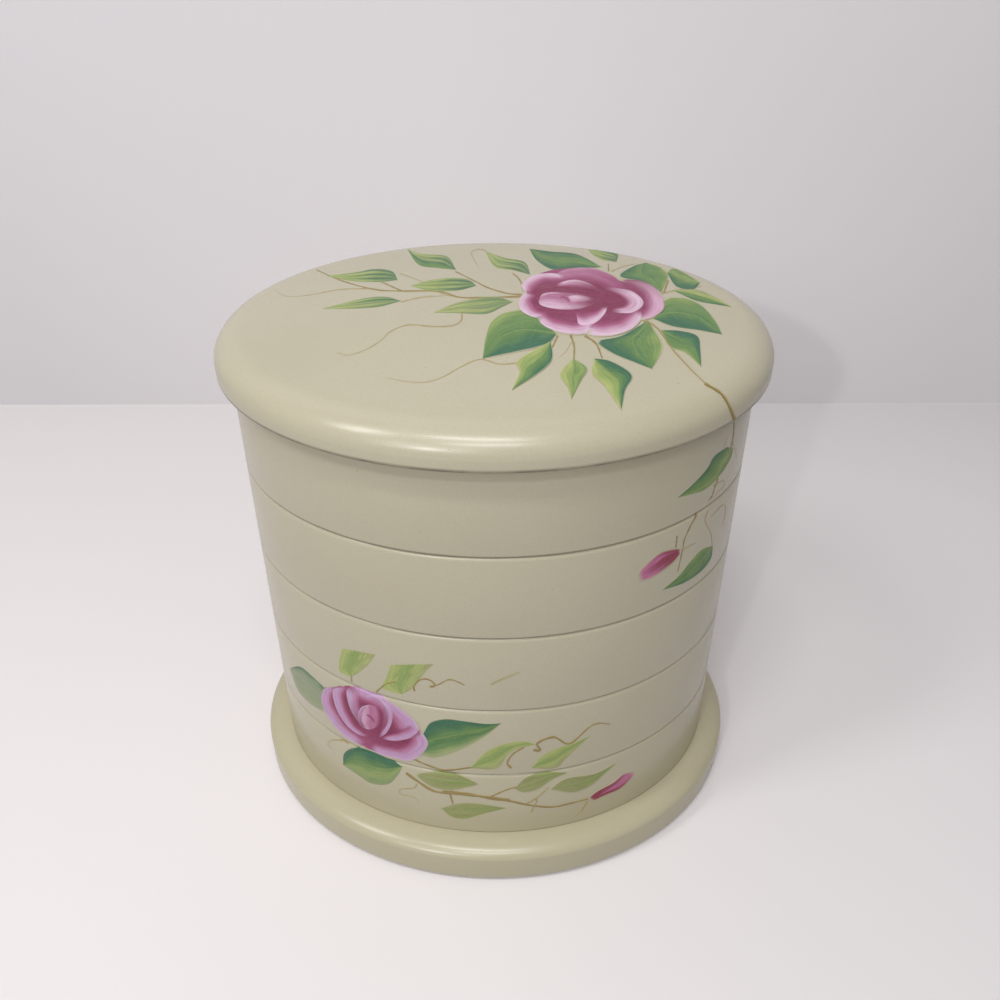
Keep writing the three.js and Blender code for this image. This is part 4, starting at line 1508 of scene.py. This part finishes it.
def lid_sprays() -> list[Drawing]:
    """Rose in the middle of its leaves on the lid, with a spray of vines to its left."""
    left = Drawing(Carrier.LID, (260, 235), 5.227)
    left.strokes = [
        vine("1370,322 1160,328 1040,325 930,295 740,293 600,285 430,240 285,178", 5, 3, LINER),
        vine("570,280 420,285 270,312 160,322 110,310 75,285", 3, 1.5, LINER_THIN),
        vine("1370,312 1290,305 1190,275 1130,245 1020,190", 4, 3, LINER),
        vine("730,200 860,250 960,310 1080,330", 2, 3, LINER_THIN),
        vine("740,293 690,270 620,240", 4, 3, LINER),
        vine("735,350 850,325 960,318", 3, 3, LINER_THIN),
        vine("1055,405 1050,450 1000,475 900,478 780,470 690,500 620,560 540,605 460,628 400,615",
             4, 2, LINER_THIN),
        vine("1340,670 1250,675 1150,650 1050,690 950,745 860,770 760,765 660,745", 3.5, 2, LINER_THIN),
        vine("1370,260 1350,225 1320,200", 4, 3, LINER),
        vine("1180,80 1140,75 1105,95 1140,165", 2.5, 2, LINER_THIN),
        *leaf("770,75 830,155 930,172 1025,182", "770,75 850,100 975,112 1025,182",
              FROM_RIB_DARK, SMALL, 0),
        *leaf("350,215 480,240 620,245 720,235", "350,215 500,195 600,178 690,190 720,235",
              SMALL, SMALL, 2),
        *leaf("790,265 880,290 1030,290 1130,265", "790,265 900,235 1010,225 1090,235 1130,265",
              SMALL, SMALL, 2),
        *leaf("330,385 480,385 620,375 735,345", "330,385 430,360 560,330 660,325 735,345",
              SMALL_PALE, SMALL, 0),
        *leaf("910,405 1040,408 1180,412 1260,378 1320,350",
              "910,405 1030,355 1140,330 1240,325 1320,350", SMALL_PALE, SMALL_PALE, 2),
    ]
    rose = Drawing(Carrier.LID, (470, 235), 5.227)
    rose.strokes = [
        vine("460,525 430,590", 6, 4, LINER),
        vine("525,520 545,580 543,655", 6, 4, LINER),
        vine("600,525 660,570 692,645", 6, 4, LINER),
        vine("530,560 500,610 460,645", 2.5, 1.5, LINER_THIN),
        vine("725,190 722,150", 4, 3, LINER),
        vine("740,190 800,165 870,150", 3, 2, LINER_THIN),
        vine("1000,305 1100,285 1210,268", 4, 2.5, LINER_THIN),
        *leaf("310,72 350,135 440,185 560,180 690,168", "310,72 420,85 560,100 690,168",
              TEAL_EDGE, FROM_RIB_DARK, 2.5),
        *leaf("80,85 130,165 230,185 315,207", "80,85 180,120 285,143 315,207", SMALL, SMALL, 0),
        *leaf("615,75 650,108 700,132 765,140", "615,75 700,80 772,98 765,140", SMALL, SMALL, 0),
        *leaf("920,145 1000,172 1038,220 1000,300", "920,145 850,165 778,215 880,245 1000,300",
              SOFT_EDGE, FROM_RIB_DARK),
        *leaf("1202,250 1165,286 1080,272 1030,200", "1202,250 1120,198 1060,176 1030,200",
              TEAL_EDGE, FROM_RIB_SOFT, 0),
        *leaf("1370,378 1290,366 1180,345 1060,290", "1370,378 1280,325 1180,285 1060,290",
              DARK_EDGE, FROM_RIB_PALE, 2),
        vine("1012,302 1036,238", 4, 4, LINER),
        *leaf("1318,522 1282,450 1212,370 1120,330 1020,340 960,440",
              "1318,522 1200,502 1060,482 960,440", SOFT_EDGE, FROM_RIB_TEAL, 4),
        *leaf("1208,690 1130,622 1040,582 1000,500", "1208,690 1204,600 1190,530 1100,502 1000,500",
              SOFT_EDGE, FROM_RIB_TEAL),
        *leaf("950,702 1000,620 1002,560 930,450", "950,702 850,665 740,620 665,560 790,530 930,450",
              SOFT_EDGE, FROM_RIB_TEAL, 4),
        *leaf("66,648 80,540 115,450 200,402 330,405 450,520", "66,648 250,614 400,575 450,520",
              SOFT_EDGE, FROM_RIB_TEAL, 4),
        *leaf("220,812 258,720 245,662 340,602 420,560", "220,812 330,745 402,690 432,640 420,560",
              PALE_EDGE, FROM_RIB_DARK),
        *leaf("530,858 510,800 472,745 482,705 540,650", "530,858 582,760 612,700 540,650",
              PALE_EDGE, FROM_RIB_SOFT),
        *leaf("790,915 700,792 638,730 650,650", "790,915 812,810 846,735 740,665 650,650",
              PALE_EDGE, FROM_RIB_TEAL),
        vine("905,448 980,490 1060,600 1150,700 1240,788", 3, 1.4, LINER_THIN),
        vine("1226,778 1240,786 1310,830 1350,890 1382,965", 4.5, 5.5, LINER),
        Stroke("300,300 290,250 420,190 620,185 800,250 950,300 980,390",
               "300,360 380,450 540,490 700,490 860,450 960,400 980,390", FILL, 40, 17),
        Stroke("285,305 268,262 330,214 430,203 505,222", "345,320 375,280 420,262 470,256 505,250",
               PETAL),
        Stroke("440,208 520,178 640,176 745,214 795,262 800,300",
               "470,262 560,250 640,262 700,280 740,300 770,320", PETAL_BACK),
        Stroke("780,236 880,240 965,275 1012,340 1014,392 965,432 900,452",
               "790,262 850,310 880,350 890,375 885,400 875,420 860,440", PETAL_SIDE),
        Stroke("292,300 258,338 258,392 300,425 352,442", "375,320 352,350 370,385 400,402 440,412",
               PETAL),
        Stroke("350,436 370,470 430,504 520,524 600,520 645,480",
               "385,390 430,410 490,428 560,434 610,430 640,420", PETAL),
        Stroke("598,520 660,534 750,530 840,500 892,450 900,400",
               "650,440 690,440 740,430 785,415 815,400 830,390", PETAL),
        Stroke("560,440 572,480 650,470 700,424 722,380", "545,390 600,395 640,392 670,385 690,375",
               PETAL),
        Stroke("735,410 800,415 850,412 900,382 905,345 850,300 770,283 690,275",
               "735,385 765,380 790,372 805,358 800,345 770,325 735,305 690,290", PETAL_PALE),
        Stroke("443,276 480,250 550,238 625,258 682,302", "443,280 510,280 580,286 630,294 682,304",
               PETAL_THIN),
        Stroke("357,350 370,374 430,392 520,398 600,388 670,362",
               "357,344 382,316 450,304 530,306 610,316 670,345", BOWL),
        Stroke("357,346 378,314 440,303 500,312 540,330", "372,350 396,332 440,322 486,330 520,342",
               PETAL_THIN),
        Stroke("486,334 512,322 560,318 620,328 660,346", "500,372 530,384 560,384 600,376 645,360",
               PETAL_THIN),
        Stroke("462,326 492,320 520,336 534,362", "466,338 488,338 506,350 518,366", HEART, 14, 7),
    ]
    return [left, rose]


def right_sprays() -> list[Drawing]:
    """Leaves, a bud and tendrils that hang down the right of the two upper trays."""
    sheet = Drawing(Carrier.WALL, (600, 400), 7.128)
    sheet.strokes = [
        vine("956,110 956,150 950,260 932,345", 5, 5, LINER),
        vine("945,300 965,370 975,410", 2.5, 1.5, LINER_THIN),
        vine("905,268 882,345", 2.5, 2, LINER_THIN),
        vine("842,560 822,610 800,680 772,720", 5, 3, LINER),
        vine("808,612 880,575 886,610 840,655 792,702", 2.5, 2, LINER_THIN),
        vine("695,812 650,890 604,990 590,1060 555,1222", 5, 3, LINER),
        vine("550,970 540,1055", 5, 4, LINER),
        vine("680,1020 620,1050 585,1082", 2.5, 3, LINER_THIN),
        vine("770,785 750,860 790,950 800,1042", 3.5, 3.5, LINER_THIN),
        vine("790,832 880,745 892,800 870,900", 3, 2, LINER_THIN),
        *leaf("552,697 660,600 760,490 812,400 905,335", "552,697 745,640 860,530 930,420 948,345",
              DARK_EDGE, FROM_RIB_SOFT, 5),
        *leaf("445,1354 560,1250 640,1150 720,1065 800,1040",
              "445,1354 600,1302 720,1222 790,1130 802,1045", SOFT_EDGE, FROM_RIB_DARK, 5),
        Stroke("572,1058 500,1064 420,1090 330,1168 264,1242",
               "572,1092 520,1160 430,1232 350,1275 272,1296", BUD),
        Stroke("560,1070 500,1074 430,1098 372,1150 330,1210",
               "560,1080 510,1100 450,1130 400,1170 350,1222", BUD_FOLD),
        vine("545,1086 480,1140 410,1192 330,1240",
             5, 3, Brush("plum crimson", (0.8, 0.8), 0.4)),
    ]
    return [sheet]


def lower_sprays() -> list[Drawing]:
    """Rose at the lower left of the trays, with leaves, a bud and curling tendrils to its right."""
    near = Drawing(Carrier.WALL, (280, 635), 7.84)
    near.strokes = [
        vine("1030,960 1130,1010 1300,1060 1480,1040 1568,1030 1700,1000", 7, 4, LINER),
        vine("1075,1165 1050,1200 950,1210 950,1250 1050,1270 1090,1320", 5, 2.5, LINER_THIN),
        vine("540,852 480,825 400,825 378,860 420,900", 6, 2.5, LINER_THIN),
        vine("562,372 560,325", 6, 5, LINER),
        *leaf("80,258 160,250 260,330 345,410", "80,270 140,430 240,540 345,602",
              LEAF_FAR, Brush("leaf_grey leaf_mid leaf_grey", (0.7, 0.6, 0.5)), 0),
        *leaf("484,105 458,215 468,290 562,328", "752,155 705,222 640,282 562,328",
              PALE_EDGE, FROM_RIB_PALE, 4),
        *leaf("862,235 828,335 800,418 955,464", "1208,228 1135,300 1055,410 955,464",
              PALE_EDGE, FROM_RIB_PALE, 4),
        vine("755,445 830,385 905,365", 6, 4, LINER),
        vine("1055,440 1050,400 1090,355 1150,345 1200,370 1212,402 1170,405 1240,388 1320,350 "
             "1390,365 1445,392", 6, 3.5, LINER),
        *leaf("1735,690 1610,694 1450,672 1300,654 1180,682 1130,760",
              "1735,690 1610,790 1480,868 1335,930 1200,962 1105,935",
              TEAL_EDGE, FROM_RIB_THIN, 5),
        *leaf("498,1018 500,930 560,884 660,884 800,940 960,1030",
              "498,1018 620,1100 720,1162 850,1166 920,1100 960,1030",
              TEAL_EDGE, Brush("leaf_mid leaf_light leaf_mid", (1, 0.9, 0.7), streak=2.0), 5),
        *leaf("1560,1168 1400,1090 1250,1064 1075,1085", "1560,1168 1350,1216 1200,1195 1075,1110",
              PALE, FROM_RIB_FAINT, 4),
        vine("990,1080 1060,1130 1200,1218 1350,1240 1568,1262 1800,1290", 8, 6, LINER),
        Stroke("350,412 560,400 760,460 950,575 1080,700 1110,820",
               "345,520 450,730 590,835 740,905 900,935 1080,900", FILL, 40, 17),
        Stroke("445,400 350,418 318,490 350,600 440,735 560,832 680,880",
               "480,425 440,470 450,550 510,650 580,735 650,790 710,820", LILAC_PETAL),
        Stroke("500,396 412,430 432,560 502,690 604,775 700,808",
               "560,410 520,470 540,570 600,690 660,750 720,790", LILAC_PETAL),
        Stroke("556,394 660,414 790,470 930,560 1045,652 1098,730 1068,790",
               "580,500 650,540 740,580 800,620 840,670 860,720 870,760", LILAC_WIDE),
        Stroke("560,396 520,440 545,560 600,660 680,740", "640,412 650,470 650,560 670,640 710,720",
               LILAC_THIN),
        Stroke("1098,735 1040,800 920,828 800,815", "1010,690 925,740 850,770 790,795", LILAC_PETAL),
        Stroke("1100,742 1150,800 1166,860 1112,940 1015,988 905,965 820,945 700,900",
               "1020,800 990,830 950,850 910,856 870,856 830,850 790,842 730,830", LILAC_WIDE),
        Stroke("828,498 880,590 882,680 842,760 780,810", "770,540 800,630 795,710 780,760 765,800",
               LILAC_PETAL),
        Stroke("640,470 760,470 850,560 862,680 790,800", "680,530 740,530 790,590 800,680 765,770",
               LILAC_THIN),
        Stroke("702,540 640,566 612,640 636,712 705,742", "702,540 772,560 802,640 778,714 705,742",
               BALL, 30, 17),
        Stroke("696,541 636,566 612,640 632,708 690,738", "706,560 668,590 652,640 664,690 700,716",
               LILAC_THIN),
        Stroke("668,612 704,616 742,648 752,696", "672,632 696,642 724,668 736,698", HEART, 14, 7),
    ]
    far = Drawing(Carrier.WALL, (440, 660), 7.127)
    far.strokes = [
        *leaf("480,1056 330,1092 180,1135 80,1120 8,1056", "480,1056 250,1018 120,1020 8,1056",
              PALE, FROM_RIB_FAINT, 3),
        *leaf("682,602 600,578 450,600 330,650 215,766", "682,602 560,632 480,680 400,778 215,768",
              PALE_EDGE, FROM_RIB_PALE, 4),
        *leaf("1072,538 950,590 850,620 730,680 655,766", "1072,538 980,622 900,700 820,772 655,770",
              PALE_EDGE, FROM_RIB_PALE, 4),
        *leaf("912,800 750,800 620,830 530,912", "912,800 800,852 700,922 600,946 530,916",
              PALE, FROM_RIB_FAINT, 3),
        *leaf("1262,728 1100,808 900,840 788,916", "1262,728 1180,802 1080,892 950,946 788,920",
              PALE, FROM_RIB_FAINT, 3),
        vine("20,930 200,952 350,985 500,1005 650,1035 800,1046 920,1022 1055,988", 6, 4, LINER),
        vine("350,978 470,925 540,905", 4, 3, LINER),
        vine("-10,790 100,780 215,766", 3, 3, LINER),
        vine("508,770 478,735 520,668 600,620", 6, 3, LINER),
        vine("665,640 715,640 690,598 750,562 820,550 900,595 960,572 1060,480 1130,450 1210,456",
             7, 2, LINER),
        vine("68,942 92,1022", 6, 4, LINER),
        vine("598,1032 690,980 772,908", 4, 2.5, LINER_THIN),
        vine("650,1082 690,1000 660,990", 5, 3, LINER_THIN),
        vine("1050,1008 1000,1080 958,1112", 4, 2, LINER_THIN),
        vine("362,172 450,130 565,84", 3, 2, LINER_THIN),
        Stroke("1058,980 1120,930 1230,870 1300,812 1392,795",
               "1090,1002 1180,962 1280,920 1345,862 1392,795", BUD),
        Stroke("1090,975 1150,938 1230,890 1300,840", "1110,988 1180,946 1250,912 1310,856",
               BUD_FOLD, 16, 9),
    ]
    return [near, far]


STACK_MIDDLE = (0, 0, 0.09)
LAMPS = (
    ("ceiling", (-0.1, -0.35, 1.25), (1.0, 1.0), 1.0),
    ("front_fill", (-0.33, -0.79, 0.625), (0.53, 0.4), 1.73),
    ("shadow_caster", (-0.58, -1.4, 0.9), (0.042, 0.042), 2.9),
    ("front_glint", (-0.09, -0.46, 1.3), (0.48, 0.07), 3.5),
    ("low_glint", (-0.04, -0.8, 1.14), (0.44, 0.07), 2.7),
    ("left_glint", (-0.77, -0.41, 1.22), (0.2, 0.4), 3.3),
)


@dataclass
class Studio:
    """Pale floor that sweeps up into a backdrop, and soft light from above, left and front."""

    wall_at: float = 0.25
    bend: float = 0.3 * MM
    front: float = 2.5
    reach: float = 3.0
    air: tuple = (1.0, 0.985, 0.99, 1)
    air_strength: float = 0.215
    floor: tuple = ((248, 243, 244), (245, 240, 241))
    # painted shade on the backdrop: the floor darkens to the right, and the wall darkens higher up and
    # towards its sides, where the light falls off
    floor_right_shade: tuple = (231, 227, 229)
    wall: tuple = ((255, 250, 252), (244, 240, 243))
    wall_side_shade: tuple = (236, 232, 235)
    unseen: tuple = (186, 182, 182)

    def sweep(self) -> None:
        """Floor and backdrop as one bent sheet, with a floor behind it."""
        turn = np.linspace(0, np.pi / 2, 24)
        foot = self.wall_at + self.bend
        y = np.concatenate([[-self.front], self.wall_at + self.bend * np.sin(turn), [foot]])
        z = np.concatenate([[0], self.bend * (1 - np.cos(turn)), [self.reach]])
        paper = self.paper()
        self.sheet("studio_sweep", y, z, paper)
        self.sheet("studio_floor_behind", np.array([foot, self.reach]), np.zeros(2), paper)

    def sheet(self, name: str, y: Array, z: Array, paper: Material) -> None:
        """Sheet of paper along a profile, which shows its face upwards and towards the box."""
        x = np.array([-self.reach, self.reach])
        points = np.stack(np.broadcast_arrays(x[None, :], y[:, None], z[:, None]), axis=-1)
        sheet = new_object(name, points.reshape(-1, 3), grid_faces(len(y), 2, False), 1.5)
        if sheet.data.polygons[0].normal.z < 0:
            sheet.data.flip_normals()
        sheet.data.materials.append(paper)

    def paper(self) -> Material:
        """Backdrop paper that shows only from its face, so the box is seen from behind too. Its colour
        holds painted shade, darker to the right, at the sides and higher up.
        """
        graph = Graph("studio_paper")
        tone = graph.ramp(graph.noise(3, 2), 0, 1)
        height, along = graph.axis("Z"), graph.axis("X")
        floor = graph.blend(tone, *map(linear, self.floor))
        # painted shade: floor darker to the right, wall darker higher up and towards the sides
        floor = graph.blend(graph.ramp(along, 0, 1, 0.0, 0.3), floor, linear(self.floor_right_shade))
        wall = graph.blend(graph.ramp(height, 0, 1, 0.08, 0.22), *map(linear, self.wall))
        aside = graph.ramp(graph.math("ABSOLUTE", along), 0, 1, 0.03, 0.27)
        wall = graph.blend(aside, wall, linear(self.wall_side_shade))
        pale = graph.blend(graph.ramp(height, 0, 1, 0.0, self.bend), floor, wall)
        rays = graph.node("ShaderNodeLightPath").outputs
        seen = graph.math("MAXIMUM", rays["Is Camera Ray"], rays["Is Glossy Ray"])
        seen = graph.math("MAXIMUM", seen, rays["Is Transmission Ray"])
        colour = graph.blend(seen, linear(self.unseen), pale)
        back = graph.node("ShaderNodeNewGeometry").outputs["Backfacing"]
        face = graph.math("SUBTRACT", 1.0, back)
        return graph.finish(Base_Color=colour, Roughness=0.9, Specular_IOR_Level=0.1, Alpha=face)

    def lamp(self, name: str, at: tuple, size: tuple, power: float) -> None:
        """Rectangular lamp at a place, turned to the middle of the stack."""
        data = bpy.data.lights.new(name, "AREA")
        data.shape, data.size, data.size_y = "RECTANGLE", *size
        data.energy = power
        turn = (Vector(STACK_MIDDLE) - Vector(at)).to_track_quat("-Z", "Y").to_matrix().to_4x4()
        link(name, data).matrix_world = Matrix.Translation(Vector(at)) @ turn

    def world(self) -> None:
        """Even pale surroundings."""
        world = bpy.data.worlds.new("studio_air")
        world.use_nodes = True
        inputs = world.node_tree.nodes["Background"].inputs
        inputs["Color"].default_value = self.air
        inputs["Strength"].default_value = self.air_strength
        bpy.context.scene.world = world

    def build(self) -> None:
        """Make the studio."""
        self.sweep()
        self.world()
        for name, at, size, watts in LAMPS:
            self.lamp(name, at, size, watts)
        bpy.context.scene.view_settings.view_transform = "Standard"


def keep_rest() -> None:
    """Finish the nodes that stay as the frame has them."""
    slots = {row["node"]: row["material_slot"] for row in frame["record"]["subparts"]}
    for name, node in frame["nodes"].items():
        if not node.hide_render:
            dress(node, slots[name])
            LOG.info("%s keeps its shape", name)


def main() -> None:
    """Build the box, its painting and the studio."""
    logging.basicConfig(level=logging.INFO, format="%(message)s")
    view = PhotoView()
    view.camera()
    Base().build()
    for number in TRAY_NUMBERS:
        Tray(number).build()
    for number in ROLL_NUMBERS:
        RingRoll(number).build()
    lid = Lid()
    lid.build()
    Painter(view, lid).lay([*lid_sprays(), *right_sprays(), *lower_sprays()])
    keep_rest()
    Studio().build()


if __name__ == "__main__":
    main()
